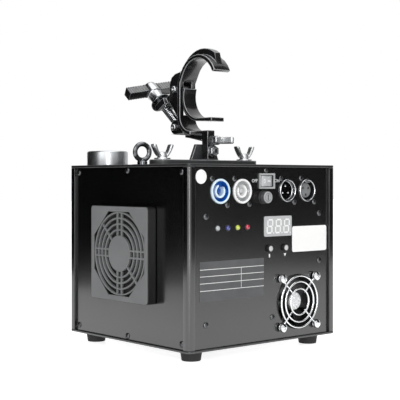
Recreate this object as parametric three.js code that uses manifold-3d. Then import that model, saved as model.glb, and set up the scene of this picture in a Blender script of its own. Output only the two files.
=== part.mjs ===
// A cold spark machine: a square steel case with a nozzle, fans and sockets, and a pipe clamp on its lid.
// Millimetres, +Z up. The origin is the bottom centre of the whole object; the connector side faces -Y.
import * as THREE from "three";
import { mergeVertices } from "three/addons/utils/BufferGeometryUtils.js";
import Module from "manifold-3d";

// Common clearances
const gap = 0.3; // air between two pieces that touch
const runGap = 0.5; // air round a piece that turns or slides
const over = 1; // how far a cutting solid runs past a face

// Case
const caseWidth = 205;
const caseDepth = 200;
const caseHeight = 180;
const caseCorner = 3.5;
const lidThick = 2.7;
const baseThick = 2.3;
const panelThick = 1.5;
const panelRecess = 2.5;
const postWidth = 8.5;
const flangeReach = 11.5;
const flangeThick = 2;
const footHeight = 10.3;
const footTopRadius = 11;
const footBottomRadius = 9.5;
const footInset = 20.5;
const footBoreRadius = 4;
const footBoreDepth = 6;

// Sockets on the connector panel. The panel's air, left of, between and right of its five columns,
// is dealt out in shares, and the rows stand at shares of the case height.
const columnAirShares = [0.2262, 0.0823, 0.2532, 0.1735, 0.0848];
const powerRowShare = 0.8522;
const signalRowShare = 0.8533;
const socketFlangeWidth = 26;
const socketFlangeHeight = 31;
const socketFlangeThick = 2;
const socketDepth = 22;
const socketWall = 2;
const socketLip = 1.2;
const powerRadius = 12.2;
const signalRadius = 11.8;
const powerCoreRadius = 4.6;
const powerKeyWidth = 3.4;
const pinRadius = 1.2;
const pinCircle = 4.6;
const pinLength = 12;
const faceSink = 3.5;

// Power switch
const switchRowShare = 0.9072;
const switchWidth = 21.5;
const switchTall = 15.7;
const switchLip = 0.6;
const bezelStand = 2;
const switchDepth = 17;
const rockerRadius = 9.2;
const rockerHalf = 8.2;
const rockerTall = 10.8;
const rockerPivotDepth = 3.4;
const rockerWall = 1.05;
const rockerDip = 1.1;
const rockerTilt = 12;

// Fuse holder, under the switch
const fuseAside = 4.9;
const fuseDrop = 16.3;
const fuseFlangeRadius = 6.75;
const fuseFlangeThick = 1.6;
const fuseBodyRadius = 5.6;
const fuseBodyDepth = 26;
const fuseCapRadius = 5.8;
const fuseCapTall = 8.1;
const fuseBoreRadius = 4.2;
const fusePlugLength = 14;
const fuseSlotWidth = 1.2;
const fuseSlotDepth = 1;

// Display, lamps, buttons and the board behind them
const displayAcrossShare = 0.5902;
const displayRowShare = 0.6522;
const displayWidth = 41.2;
const displayTall = 20.9;
const displayCorner = 2.5;
const displayStand = 1;
const displayLip = 1.4;
const lampAcrossShares = [0.1878, 0.2537, 0.3166, 0.3815];
const lampRowShare = 0.6533;
const lampRadius = 2.5;
const lampStand = 2.6;
const lampRimThick = 1;
const buttonAsides = [-12.2, 10];
const buttonDrop = 22.4;
const buttonRadius = 3.6;
const buttonStand = 3;
const buttonTravel = 1.5;
const buttonRim = 1.2;
const boardDepth = 13;
const boardThick = 1.6;
const boardMargin = 9;
const boardTopMargin = 3;

// Front fan and its wire guard
const frontFanFromRight = 54.9;
const frontFanLift = 8.3;
const frontFanSize = 60;
const frontFanDepth = 25;
const frontFanScrews = 50;
const wireRadius = 1;
const wireRings = [26.7, 20.8, 13.5];
const wireStand = 2.2;
const guardHeadRadius = 4;
const guardHeadStand = 7;
const guardHeadTall = 3;

// Side fan and its filter guard
const sideFanRoom = 1; // between the fan and the blower behind it
const sideFanDepth = 25;
const sideFanInset = 4.75; // from the frame's edge to a screw
const filterRim = 2; // the guard's reach past the fan
const filterDeep = 11;
const filterCorner = 7;
const filterEdge = 4; // from the fan's edge to the guard's opening
const filterDiscShare = 0.2167; // of the opening
const filterRingShare = 0.454; // of the step from ring to ring
const filterRingThick = 3;
const filterSpokeShare = 0.031; // of the opening
const filterSpokeApartShare = 0.0833;
const filterRings = 4;
const filterRimGapShare = 0.5; // of a step, from the last ring to the rim
const filterSides = 12;
const wireSides = 5;
const foamThick = 4;

// Fans in common
const fanWall = 1.6;
const fanTipGap = 1;
const fanHubShare = 0.17; // hub radius, of the fan's size
const fanShaftRadius = 1.5;
const fanStrutWidth = 4;
const fanStrutThick = 2;
const fanScrewRadius = 2.1;
const fanBladeThick = 1.4;
const fanBladePitch = 38;
const fanBlades = 7;

// Nozzle, heater tube and blower
const nozzleX = 27;
const nozzleFromRear = 32;
const nozzleRadius = 22;
const nozzleTall = 15.5;
const nozzleChamfer = 2;
const nozzleBore = 15;
const nozzleSpigot = 17;
const nozzleSpigotLength = 14;
const nozzleEaseShare = 0.3; // of the chamfer, where its round begins
const tubeRadius = 17;
const tubeWall = 2;
const heaterBand = 3;
const heaterBandTall = 26;
const heaterBandDrop = 1; // from the top of the tube
const blowerRadius = 21;
const blowerThick = 26;
const blowerWall = 2;
const blowerHeight = 58;
const blowerNeck = 18;
const blowerNeckTop = 92;
const blowerFootWidth = 14;
const blowerInletRadius = 11;
const impellerRadius = 17.5;
const impellerHubRadius = 6;
const impellerThick = 16;
const vaneThick = 1.2;
const vaneCount = 10;

// Hopper, auger and gear motor
const hopperX = 85;
const hopperNeckRadius = 18;
const hopperRadius = 25;
const hopperWall = 1.6;
const hopperFlange = 4;
const hopperFlangeThick = 2;
const hopperNeckTall = 8;
const hopperShoulder = 6;
const hopperConeShare = 0.47; // of the height from the auger to the shoulder
const augerHeight = 114;
const augerTubeRadius = 8.5;
const augerTubeWall = 1.8;
const augerPitch = 10;
const augerFlightThick = 1.6;
const augerShaftRadius = 2;
const motorRadius = 14;
const gearboxLength = 18;
const motorLength = 32;
const motorFlangeThick = 2;
const capRadius = 20;
const capThick = 1.5;
const capKnobInset = 4;
const capWall = 1.8;
const capSkirt = 6;

// Power supply
const supplyFromRight = 57;
const supplyFromRear = 60;
const supplyWidth = 92;
const supplyDepth = 78;
const supplyTall = 38;
const supplyNotch = 12;

// Lifting eye
const eyeX = 22;
const eyeRingRadius = 8.2;
const eyeWireRadius = 2.3;
const eyeCollarRadius = 5.15;
const eyeCentreRise = 13.4;
const eyeCollarTall = 4;
const eyeTurn = 10;

// Bracket strip and its wing bolts
const stripAside = 0.4;
const stripForward = 5;
const stripWidth = 27;
const stripThick = 5.7;
const wingFromSide = 44;
const wingSpan = 27;
const wingTopRise = 16.5;
const wingThick = 4;
const wingWide = 6.5;
const wingHubRadius = 5;
const wingHubTall = 6;
const washerRadius = 8.75;
const washerThick = 1.5;
const wingShankRadius = 3;
const wingBoltEnd = 8;
const wingHubTopShare = 0.8;
const wingTipShare = 0.96; // how round a wing's end is

// Clamp: its arm, seen from -X, is laid out round the axis of the pipe that it holds
const clampAside = 0.5;
const clampForward = 5.5;
const pipeRadius = 25.5;
const pipeRise = 88.5; // over the lid
const clampWidth = 23;
const clampFlange = 4.4;
const hookGap = 0.6;
const hookStart = 24;
const hookEnd = 157;
const wallReach = 28.9;
const wallTop = 1.5;
const cornerRadius = 17;
const armHeight = 51;
const ribThick = 8;
const ribRise = 7;
const cheekThick = 3;
const slotWidth = 11;
const jawPinY = 40;
const jawPinZ = -4.5;
const boltPinY = 40.5;
const boltPinZ = -46.2;
const humpReach = 10.3;
const humpRise = 19.2;
const humpShoulder = 13.6;
const humpDrop = 13.7;
const earRadius = 8.2;
const legDeep = 9.6;
const legWide = 10;
const legBack = 0.6;
const legFoot = 82;
const gussetDrop = 10.5;
const clampPinRadius = 2.6;
const clampPinHead = 3.65;
const clampPinStand = 1.5;
const windowTop = 8;
const windowLow = 33;
const ribStartShare = 1.1; // of the hook's start angle
const ribEndShare = 0.78; // of its end angle
const cheekCrestShares = [0.1, 0.9]; // of the hump's reach and rise
const cheekKneeShare = 0.7;
const cheekShoulderShare = 0.45;
const earStartShare = 1.1;
const earFootShares = [0.3, 0.9]; // of the corner's radius and the ear's
const gussetShares = [0.4, 1.4, 1.5];
const pinHeadTopShare = 0.8;

// Jaw
const jawWidth = 18;
const jawClose = 19;
const jawPadRadius = 24.6;
const jawThick = 3.2;
const jawTabThick = 4.3;
const jawUpper = 21;
const jawLower = 81;
const jawTab = 25;
const jawNeckWidth = 10.2;
const jawHubRadius = 7.2;
const tailAngle = 31;
const tailThick = 8;
const forkStart = 21.5;
const forkEnd = 40;
const forkWidth = 19.6;
const notchWidth = 11;
const notchStart = 26;
const webEndShares = [0.6, 0.55]; // of the pad's upper and lower angles
const webFootShares = [0.3, 0.93]; // of the hub's radius

// Swing bolt, washer collar and T-handle, measured along the bolt from its hinge pin
const boltRise = 40;
const boltRadius = 5;
const boltEyeRadius = 8;
const boltEyeWidth = 10.2;
const boltEnd = 75;
const collarStart = 42.6;
const collarRadius = 6.8;
const discStart = 45;
const discRadius = 12;
const discThick = 2;
const barrelRadius = 7.5;
const barrelEnd = 75.6;
const barAlong = 69.5;
const barSize = 11;
const barHalf = 31.5;
const barTurn = 13;
const barTeeth = 7;
const toothDeep = 0.9;

// Foot of the clamp and its wing screw
const footPlateThick = 4;
const footPlateBottom = 39;
const footPlateTop = 25;
const footPlateTall = 17;
const footBoltRise = 9.7;
const footBoltRadius = 3;
const nutAcross = 10;
const nutThick = 5;
const nutWasherRadius = 5.8;
const nutWasherThick = 1.2;
const screwRise = 20.8;
const screwRadius = 4;
const screwStand = 13;
const screwWingRise = 12;
const screwWingShare = 0.62; // of the hub's length, where the wings begin

// Facets round a full turn
const fine = 20;
const medium = 12;
const coarse = 8;
const arcSteps = 3;
const bend = 5; // along each arc of the clamp's outlines

const wasm = await Module();
wasm.setup();
const degrees = THREE.MathUtils.degToRad;

// Materials
const finish = (color, roughness, metalness) =>
  new THREE.MeshStandardMaterial({ color, roughness, metalness, flatShading: true });
const looks = {
  caseBlack: () => finish(0x1b1b1d, 0.55, 0.3),
  rubber: () => finish(0x141414, 0.85, 0),
  inletBlue: () => finish(0x2a78b8, 0.45, 0),
  outletGrey: () => finish(0xd8dadb, 0.45, 0),
  steel: () => finish(0xc9ccce, 0.25, 0.95),
  blackPlastic: () => finish(0x19191a, 0.5, 0),
  whitePlastic: () => finish(0xe6e6e3, 0.4, 0),
  lampClear: () => finish(0xd9dde0, 0.15, 0),
  lampBlue: () => finish(0x2f6fd0, 0.15, 0),
  lampGreen: () => finish(0xb9c934, 0.15, 0),
  lampRed: () => finish(0xc23a34, 0.15, 0),
  displayGrey: () => finish(0xb9bcbb, 0.3, 0),
  boardGreen: () => finish(0x2c5a3a, 0.6, 0),
  clampBlack: () => finish(0x222224, 0.4, 0.4),
  foam: () => finish(0x202020, 0.95, 0),
  innerMetal: () => finish(0xa9adb0, 0.4, 0.9),
};

// Solids and meshes

// A closed geometry, placed by a matrix, as a solid for joins and cuts.
function solidOf(geometry, matrix = new THREE.Matrix4()) {
  const bare = new THREE.BufferGeometry();
  bare.setAttribute("position", geometry.getAttribute("position").clone());
  if (geometry.index) bare.setIndex(geometry.index.clone());
  bare.applyMatrix4(matrix);
  const merged = mergeVertices(bare, 1e-4);
  const mesh = new wasm.Mesh({
    numProp: 3,
    vertProperties: merged.getAttribute("position").array,
    triVerts: new Uint32Array(merged.index.array),
  });
  return new wasm.Manifold(mesh);
}

function placed(geometry, x = 0, y = 0, z = 0, turnX = 0, turnY = 0, turnZ = 0) {
  const matrix = new THREE.Matrix4().makeRotationFromEuler(new THREE.Euler(turnX, turnY, turnZ));
  matrix.setPosition(x, y, z);
  return solidOf(geometry, matrix);
}

const join = (...solids) => solids.reduce((all, next) => all.add(next));
const cut = (body, ...tools) => tools.reduce((left, tool) => left.subtract(tool), body);

// A box given by its ends along each axis.
function block([x0, x1], [y0, y1], [z0, z1]) {
  const geometry = new THREE.BoxGeometry(x1 - x0, y1 - y0, z1 - z0);
  return placed(geometry, (x0 + x1) / 2, (y0 + y1) / 2, (z0 + z1) / 2);
}

// A round bar along Z, X or Y, given by its two ends.
function rodZ(radius, z0, z1, x = 0, y = 0, sides = medium, endRadius = radius) {
  const geometry = new THREE.CylinderGeometry(endRadius, radius, z1 - z0, sides);
  return placed(geometry, x, y, (z0 + z1) / 2, Math.PI / 2);
}
function rodX(radius, x0, x1, y = 0, z = 0, sides = medium) {
  const geometry = new THREE.CylinderGeometry(radius, radius, x1 - x0, sides);
  return placed(geometry, (x0 + x1) / 2, y, z, 0, 0, -Math.PI / 2);
}
function rodY(radius, y0, y1, x = 0, z = 0, sides = medium) {
  const geometry = new THREE.CylinderGeometry(radius, radius, y1 - y0, sides);
  return placed(geometry, x, (y0 + y1) / 2, z);
}

// A profile of [radius, height] points turned about Z; it starts and ends on the axis.
function turned(points, sides = medium) {
  const profile = points.map(([radius, height]) => new THREE.Vector2(radius, height));
  return placed(new THREE.LatheGeometry(profile, sides), 0, 0, 0, Math.PI / 2);
}

function extruded(shape, depth, curveSegments = arcSteps) {
  return new THREE.ExtrudeGeometry(shape, { depth, bevelEnabled: false, curveSegments });
}

// An outline drawn in Y and Z, given its thickness along X from x0 to x1.
function slabX(shape, x0, x1, curveSegments = arcSteps) {
  const basis = new THREE.Matrix4().makeBasis(
    new THREE.Vector3(0, 1, 0),
    new THREE.Vector3(0, 0, 1),
    new THREE.Vector3(1, 0, 0),
  );
  basis.setPosition(x0, 0, 0);
  return solidOf(extruded(shape, x1 - x0, curveSegments), basis);
}

function roundedRect(width, height, radius, x = 0, y = 0, kind = THREE.Shape) {
  const right = width / 2 - radius;
  const top = height / 2 - radius;
  const shape = new kind();
  shape.absarc(x + right, y - top, radius, -Math.PI / 2, 0);
  shape.absarc(x + right, y + top, radius, 0, Math.PI / 2);
  shape.absarc(x - right, y + top, radius, Math.PI / 2, Math.PI);
  shape.absarc(x - right, y - top, radius, Math.PI, Math.PI * 1.5);
  shape.closePath();
  return shape;
}

function rect(width, height, x = 0, y = 0, kind = THREE.Shape) {
  const shape = new kind();
  shape.moveTo(x - width / 2, y - height / 2);
  shape.lineTo(x + width / 2, y - height / 2);
  shape.lineTo(x + width / 2, y + height / 2);
  shape.lineTo(x - width / 2, y + height / 2);
  shape.closePath();
  return shape;
}

// A round hole of as many sides as the piece that goes through it.
function circleHole(radius, x, y, sides = fine) {
  const points = Array.from({ length: sides }, (unused, index) => {
    const turn = (index * Math.PI * 2) / sides;
    return new THREE.Vector2(x + radius * Math.cos(turn), y + radius * Math.sin(turn));
  });
  return new THREE.Path().setFromPoints(points);
}
const rectHole = (width, height, x, y) => rect(width, height, x, y, THREE.Path);

// A named mesh of a solid.
function piece(name, solid, material) {
  const data = solid.getMesh();
  const positions = new Float32Array(data.numVert * 3);
  for (let i = 0; i < data.numVert; i++) {
    const start = i * data.numProp;
    positions.set(data.vertProperties.subarray(start, start + 3), i * 3);
  }
  const geometry = new THREE.BufferGeometry();
  geometry.setAttribute("position", new THREE.BufferAttribute(positions, 3));
  geometry.setIndex(new THREE.BufferAttribute(new Uint32Array(data.triVerts), 1));
  geometry.computeVertexNormals();
  const mesh = new THREE.Mesh(geometry, material);
  mesh.name = name;
  return mesh;
}

function put(parent, mesh, x = 0, y = 0, z = 0) {
  mesh.position.set(x, y, z);
  parent.add(mesh);
  return mesh;
}

// Places on the connector panel, from its left edge and from the case bottom
const sideMargin = postWidth + flangeReach + gap;
const columnWidths = [
  socketFlangeWidth,
  socketFlangeWidth,
  switchWidth,
  socketFlangeWidth,
  socketFlangeWidth,
];
const sum = (values) => values.reduce((total, value) => total + value, 0);
const columnAir = caseWidth - 2 * sideMargin - sum(columnWidths);
const [inletLeft, outletLeft, switchLeft, maleLeft, femaleLeft] = columnWidths.map((width, index) => {
  const air = sum(columnAirShares.slice(0, index + 1)) * columnAir;
  return sideMargin + air + sum(columnWidths.slice(0, index)) + width / 2;
});
const powerHeight = caseHeight * powerRowShare;
const signalHeight = caseHeight * signalRowShare;
const switchHeight = caseHeight * switchRowShare;
const fuseLeft = switchLeft - fuseAside;
const fuseHeight = switchHeight - fuseDrop;
const displayLeft = caseWidth * displayAcrossShare;
const displayHeight = caseHeight * displayRowShare;
const lampLefts = lampAcrossShares.map((share) => caseWidth * share);
const lampHeight = caseHeight * lampRowShare;
const buttonLefts = buttonAsides.map((aside) => displayLeft + aside);
const buttonHeight = displayHeight - buttonDrop;
const boardLeft = lampLefts[0] - boardMargin;
const boardRight = displayLeft + displayWidth / 2 + boardMargin / 2;
const boardLow = buttonHeight - boardMargin;
const boardHigh = displayHeight + displayTall / 2 + boardTopMargin;
const frontFanLeft = caseWidth - frontFanFromRight;
const frontFanHeight = frontFanSize / 2 + frontFanLift;

// Places on the other sides and on the lid
const sideFanHeight = caseHeight / 2;
const sideFanSize = caseDepth - 2 * (nozzleFromRear + blowerRadius + sideFanRoom);
const sideFanScrews = sideFanSize - 2 * sideFanInset;
const filterSize = sideFanSize + 2 * filterRim;
const filterOpening = sideFanSize - 2 * filterEdge;
const filterDisc = filterOpening * filterDiscShare;
const filterRingStep = (filterOpening / 2 - filterDisc) / (filterRings + filterRimGapShare);
const filterRingWidth = filterRingStep * filterRingShare;
const filterSpokeWidth = filterOpening * filterSpokeShare;
const filterSpokeApart = filterOpening * filterSpokeApartShare;
const nozzleY = caseDepth - nozzleFromRear;
const supplyX = caseWidth - supplyFromRight;
const supplyY = caseDepth - supplyFromRear;
const stripX = caseWidth / 2 + stripAside;
const stripY = caseDepth / 2 - stripForward;
const wingSpacing = caseWidth - 2 * wingFromSide;
const pipeHeight = caseHeight + pipeRise;
const clampX = caseWidth / 2 + clampAside;
const pipeY = caseDepth / 2 - clampForward;

// Case coordinates: the middle of the case plan, heights from the floor
const lidTop = footHeight + caseHeight;
const lidUnder = lidTop - lidThick;
const floorTop = footHeight + baseThick;
const panelLow = baseThick + gap;
const panelHigh = caseHeight - lidThick - gap;
const panelBack = panelRecess + panelThick;
const fromLeft = (distance) => distance - caseWidth / 2;
const fromFront = (distance) => distance - caseDepth / 2;
const fromBottom = (distance) => footHeight + distance;
const screwCorners = (spacing) =>
  [-1, 1].flatMap((sideX) => [-1, 1].map((sideY) => [(sideX * spacing) / 2, (sideY * spacing) / 2]));

// A side of the case: its frame has X to the right, Y up from the case bottom and Z outwards,
// with the panel's outer face at zero.
function caseSide(turn, width, distance) {
  const side = new THREE.Group();
  side.rotation.set(Math.PI / 2, 0, turn, "ZXY");
  const reach = distance / 2 - panelRecess;
  const outward = new THREE.Vector3(Math.sin(turn), -Math.cos(turn), 0);
  const rightward = new THREE.Vector3(Math.cos(turn), Math.sin(turn), 0);
  side.position.copy(outward).multiplyScalar(reach);
  side.position.addScaledVector(rightward, -width / 2);
  side.position.z = footHeight;
  return side;
}

const machine = new THREE.Group();
const frontSide = caseSide(0, caseWidth, caseDepth);
const fanSide = caseSide(-Math.PI / 2, caseDepth, caseWidth);
const rightSide = caseSide(Math.PI / 2, caseDepth, caseWidth);
const rearSide = caseSide(Math.PI, caseWidth, caseDepth);
machine.add(frontSide, fanSide, rightSide, rearSide);

// Case

function basePlate() {
  const shape = roundedRect(caseWidth, caseDepth, caseCorner);
  return piece("base_plate", placed(extruded(shape, baseThick)), looks.caseBlack());
}

function lid() {
  const shape = roundedRect(caseWidth, caseDepth, caseCorner);
  const spigotX = fromLeft(nozzleX);
  shape.holes.push(circleHole(nozzleSpigot + gap, spigotX, fromFront(nozzleY)));
  shape.holes.push(circleHole(hopperNeckRadius - hopperWall, fromLeft(hopperX), fromFront(nozzleY)));
  for (const side of [-1, 1]) {
    const boltX = fromLeft(stripX) + (side * wingSpacing) / 2;
    shape.holes.push(circleHole(wingShankRadius + gap, boltX, fromFront(stripY), coarse));
  }
  return piece("lid", placed(extruded(shape, lidThick)), looks.caseBlack());
}

// A corner post, with a flange behind each panel that the panel is screwed to.
function cornerPost(name) {
  const back = panelBack + gap;
  const end = postWidth + flangeReach;
  const shape = new THREE.Shape();
  shape.absarc(caseCorner, caseCorner, caseCorner, Math.PI, Math.PI * 1.5);
  shape.lineTo(postWidth, 0);
  shape.lineTo(postWidth, back);
  shape.lineTo(end, back);
  shape.lineTo(end, back + flangeThick);
  shape.lineTo(postWidth, back + flangeThick);
  shape.lineTo(postWidth, postWidth);
  shape.lineTo(back + flangeThick, postWidth);
  shape.lineTo(back + flangeThick, end);
  shape.lineTo(back, end);
  shape.lineTo(back, postWidth);
  shape.lineTo(0, postWidth);
  shape.closePath();
  const tall = caseHeight - lidThick - baseThick - 2 * gap;
  return piece(name, placed(extruded(shape, tall)), looks.caseBlack());
}

function cornerPosts() {
  const corners = [
    ["post_front_left", -1, -1, 0],
    ["post_front_right", 1, -1, Math.PI / 2],
    ["post_rear_right", 1, 1, Math.PI],
    ["post_rear_left", -1, 1, Math.PI * 1.5],
  ];
  for (const [name, sideX, sideY, turn] of corners) {
    const post = put(machine, cornerPost(name));
    post.position.set((sideX * caseWidth) / 2, (sideY * caseDepth) / 2, floorTop + gap);
    post.rotation.z = turn;
  }
}

function feet() {
  const profile = [
    [0, 0],
    [footBottomRadius, 0],
    [footTopRadius, footHeight - gap],
    [0, footHeight - gap],
  ];
  const bore = rodZ(footBoreRadius, -over, footBoreDepth, 0, 0, coarse);
  const names = ["foot_front_left", "foot_rear_left", "foot_front_right", "foot_rear_right"];
  for (const [index, name] of names.entries()) {
    const sideX = index < 2 ? -1 : 1;
    const sideY = index % 2 ? 1 : -1;
    const foot = piece(name, cut(turned(profile), bore), looks.rubber());
    put(machine, foot, sideX * (caseWidth / 2 - footInset), sideY * (caseDepth / 2 - footInset));
  }
}

function panelShape(width) {
  const middle = (panelLow + panelHigh) / 2;
  return rect(width - 2 * (postWidth + gap), panelHigh - panelLow, width / 2, middle);
}

function panel(name, shape) {
  const solid = placed(extruded(shape, panelThick), 0, 0, -panelThick);
  return piece(name, solid, looks.caseBlack());
}

function connectorPanel() {
  const shape = panelShape(caseWidth);
  const holes = shape.holes;
  holes.push(circleHole(powerRadius + gap, inletLeft, powerHeight));
  holes.push(circleHole(powerRadius + gap, outletLeft, powerHeight));
  holes.push(circleHole(signalRadius + gap, maleLeft, signalHeight));
  holes.push(circleHole(signalRadius + gap, femaleLeft, signalHeight));
  const switchCutWidth = switchWidth - 2 * (switchLip - gap);
  const switchCutTall = switchTall - 2 * (switchLip - gap);
  holes.push(rectHole(switchCutWidth, switchCutTall, switchLeft, switchHeight));
  holes.push(circleHole(fuseBodyRadius + gap, fuseLeft, fuseHeight, medium));
  const displayCutWidth = displayWidth - 2 * (displayLip - gap);
  const displayCutTall = displayTall - 2 * (displayLip - gap);
  holes.push(rectHole(displayCutWidth, displayCutTall, displayLeft, displayHeight));
  for (const left of lampLefts) holes.push(circleHole(lampRadius + gap, left, lampHeight, medium));
  for (const left of buttonLefts) holes.push(circleHole(buttonRadius + gap, left, buttonHeight, medium));
  const fanBore = frontFanSize / 2 - fanWall;
  holes.push(circleHole(fanBore, frontFanLeft, frontFanHeight));
  return panel("connector_panel", shape);
}

function fanPanel() {
  const shape = panelShape(caseDepth);
  const opening = sideFanSize / 2 - fanWall;
  shape.holes.push(circleHole(opening, caseDepth / 2, sideFanHeight));
  return panel("fan_side_panel", shape);
}

function buildCase() {
  put(machine, basePlate(), 0, 0, footHeight);
  put(machine, lid(), 0, 0, lidUnder);
  cornerPosts();
  feet();
  put(frontSide, connectorPanel());
  put(fanSide, fanPanel());
  put(rightSide, panel("right_panel", panelShape(caseDepth)));
  put(rearSide, panel("rear_panel", panelShape(caseWidth)));
}
buildCase();

// Sockets: a flange behind the panel carries a barrel that comes through it

function socketShell(radius, bore) {
  const back = -panelThick - gap;
  const flangeShape = rect(socketFlangeWidth, socketFlangeHeight);
  const flangeZ = back - socketFlangeThick;
  const flange = placed(extruded(flangeShape, socketFlangeThick), 0, 0, flangeZ);
  const barrel = rodZ(radius, -socketDepth, socketLip, 0, 0, fine);
  const hollow = rodZ(bore, -socketDepth + socketWall, socketLip + over, 0, 0, fine);
  return cut(join(flange, barrel), hollow);
}

// Power socket: a round core with two key ribs on the wall of the bore.
function powerSocket(name, material) {
  const bore = powerRadius - socketWall;
  const floor = -socketDepth + socketWall - over;
  const core = rodZ(powerCoreRadius, floor, -faceSink);
  const ribs = [-1, 1].map((side) => {
    const inner = side * (bore - socketWall);
    const outer = side * (bore + socketWall / 2);
    const ends = [Math.min(inner, outer), Math.max(inner, outer)];
    return block([-powerKeyWidth / 2, powerKeyWidth / 2], ends, [floor, -faceSink / 2]);
  });
  return piece(name, join(socketShell(powerRadius, bore), core, ...ribs), material);
}

function pinPlaces() {
  return [90, 210, 330].map((angle) => {
    const turn = degrees(angle);
    return [pinCircle * Math.cos(turn), pinCircle * Math.sin(turn)];
  });
}

function maleSocket() {
  const bore = signalRadius - socketWall;
  const floor = -socketDepth + socketWall - over;
  const pins = pinPlaces().map(([x, y]) => rodZ(pinRadius, floor, floor + over + pinLength, x, y, coarse));
  return piece("signal_plug", join(socketShell(signalRadius, bore), ...pins), looks.steel());
}

function femaleSocket() {
  const bore = signalRadius - socketWall;
  const insert = rodZ(bore + socketWall / 2, -socketDepth + over, -faceSink, 0, 0, fine);
  const holes = pinPlaces().map(([x, y]) => {
    return rodZ(pinRadius + gap, -pinLength, over, -x, -y, coarse);
  });
  const latchTop = [bore - socketWall, bore + socketWall / 2];
  const latch = block([-powerKeyWidth, powerKeyWidth], latchTop, [-socketDepth + over, 0]);
  const solid = join(socketShell(signalRadius, bore), insert, latch);
  return piece("signal_socket", cut(solid, ...holes), looks.steel());
}

// Power switch: a bezel and body with a pocket, and a rocker that tips about an upright pin
function switchHousing() {
  const bodyWidth = switchWidth - 2 * switchLip;
  const bodyTall = switchTall - 2 * switchLip;
  const outline = roundedRect(switchWidth, switchTall, switchLip);
  const bezel = placed(extruded(outline, bezelStand - gap), 0, 0, gap);
  const bodyTop = [-switchDepth, gap + over];
  const body = block([-bodyWidth / 2, bodyWidth / 2], [-bodyTall / 2, bodyTall / 2], bodyTop);
  const pocketWide = switchWidth / 2 - rockerWall;
  const pocketTall = rockerTall / 2 + runGap;
  const pocketFloor = -rockerPivotDepth - rockerHalf / 2 - runGap;
  const pocketEnds = [pocketFloor, bezelStand + over];
  const pocket = block([-pocketWide, pocketWide], [-pocketTall, pocketTall], pocketEnds);
  const pinEnds = [-rockerTall / 2 - 2 * runGap, rockerTall / 2 + 2 * runGap];
  const pin = rodY(rockerDip - gap / 2, pinEnds[0], pinEnds[1], 0, -rockerPivotDepth, coarse);
  return piece("switch_housing", join(cut(join(bezel, body), pocket), pin), looks.blackPlastic());
}

// The rocker's ends are arcs about its pin, so they clear the pocket at every angle.
function switchRocker() {
  const corner = Math.acos(rockerHalf / rockerRadius);
  const lower = -corner / 2;
  const shape = new THREE.Shape();
  shape.absarc(0, 0, rockerRadius, lower, corner);
  shape.lineTo(0, rockerRadius * Math.sin(corner) - rockerDip);
  shape.absarc(0, 0, rockerRadius, Math.PI - corner, Math.PI - lower);
  shape.lineTo(0, -rockerHalf / 2);
  shape.closePath();
  const lift = placed(extruded(shape, rockerTall), 0, rockerTall / 2, 0, Math.PI / 2);
  const bore = rodY(rockerDip + gap / 2, -rockerTall, rockerTall, 0, 0, coarse);
  return piece("switch_rocker", cut(lift, bore), looks.blackPlastic());
}

function fuseHolder() {
  const profile = [
    [0, -fuseBodyDepth],
    [fuseBodyRadius, -fuseBodyDepth],
    [fuseBodyRadius, gap],
    [fuseFlangeRadius, gap],
    [fuseFlangeRadius, fuseFlangeThick],
    [0, fuseFlangeThick],
  ];
  const bore = rodZ(fuseBoreRadius, -fusePlugLength - runGap, fuseFlangeThick + over);
  return piece("fuse_holder", cut(turned(profile), bore), looks.blackPlastic());
}

function fuseCap() {
  const plugRadius = fuseBoreRadius - runGap / 2;
  const low = fuseFlangeThick + gap;
  const chamfer = fuseSlotDepth;
  const profile = [
    [0, -fusePlugLength],
    [plugRadius, -fusePlugLength],
    [plugRadius, low],
    [fuseCapRadius, low],
    [fuseCapRadius, low + fuseCapTall - chamfer],
    [fuseCapRadius - chamfer, low + fuseCapTall],
    [0, low + fuseCapTall],
  ];
  const slotEnds = [-fuseSlotWidth / 2, fuseSlotWidth / 2];
  const top = low + fuseCapTall;
  const slot = block([-fuseCapRadius, fuseCapRadius], slotEnds, [top - fuseSlotDepth, top + over]);
  return piece("fuse_cap", cut(turned(profile), slot), looks.blackPlastic());
}

function buildSockets() {
  put(frontSide, powerSocket("power_inlet", looks.inletBlue()), inletLeft, powerHeight);
  put(frontSide, powerSocket("power_outlet", looks.outletGrey()), outletLeft, powerHeight);
  put(frontSide, maleSocket(), maleLeft, signalHeight);
  put(frontSide, femaleSocket(), femaleLeft, signalHeight);
  put(frontSide, switchHousing(), switchLeft, switchHeight);
  const rocker = put(frontSide, switchRocker(), switchLeft, switchHeight, -rockerPivotDepth);
  rocker.rotation.y = degrees(rockerTilt);
  put(frontSide, fuseHolder(), fuseLeft, fuseHeight);
  put(frontSide, fuseCap(), fuseLeft, fuseHeight);
}
buildSockets();

// Display, lamps and buttons in front of the control board

function display() {
  const bezelShape = roundedRect(displayWidth, displayTall, displayCorner);
  const bezel = placed(extruded(bezelShape, displayStand), 0, 0, gap);
  const halfWidth = displayWidth / 2 - displayLip;
  const halfTall = displayTall / 2 - displayLip;
  const bodyEnds = [gap - boardDepth, gap + displayStand / 2];
  const body = block([-halfWidth, halfWidth], [-halfTall, halfTall], bodyEnds);
  return piece("display", join(bezel, body), looks.displayGrey());
}

function controlBoard() {
  const width = boardRight - boardLeft;
  const middle = (boardLow + boardHigh) / 2;
  const shape = rect(width, boardHigh - boardLow, (boardLeft + boardRight) / 2, middle);
  return piece("control_board", placed(extruded(shape, boardThick), 0, 0, -boardThick), looks.boardGreen());
}

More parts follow.
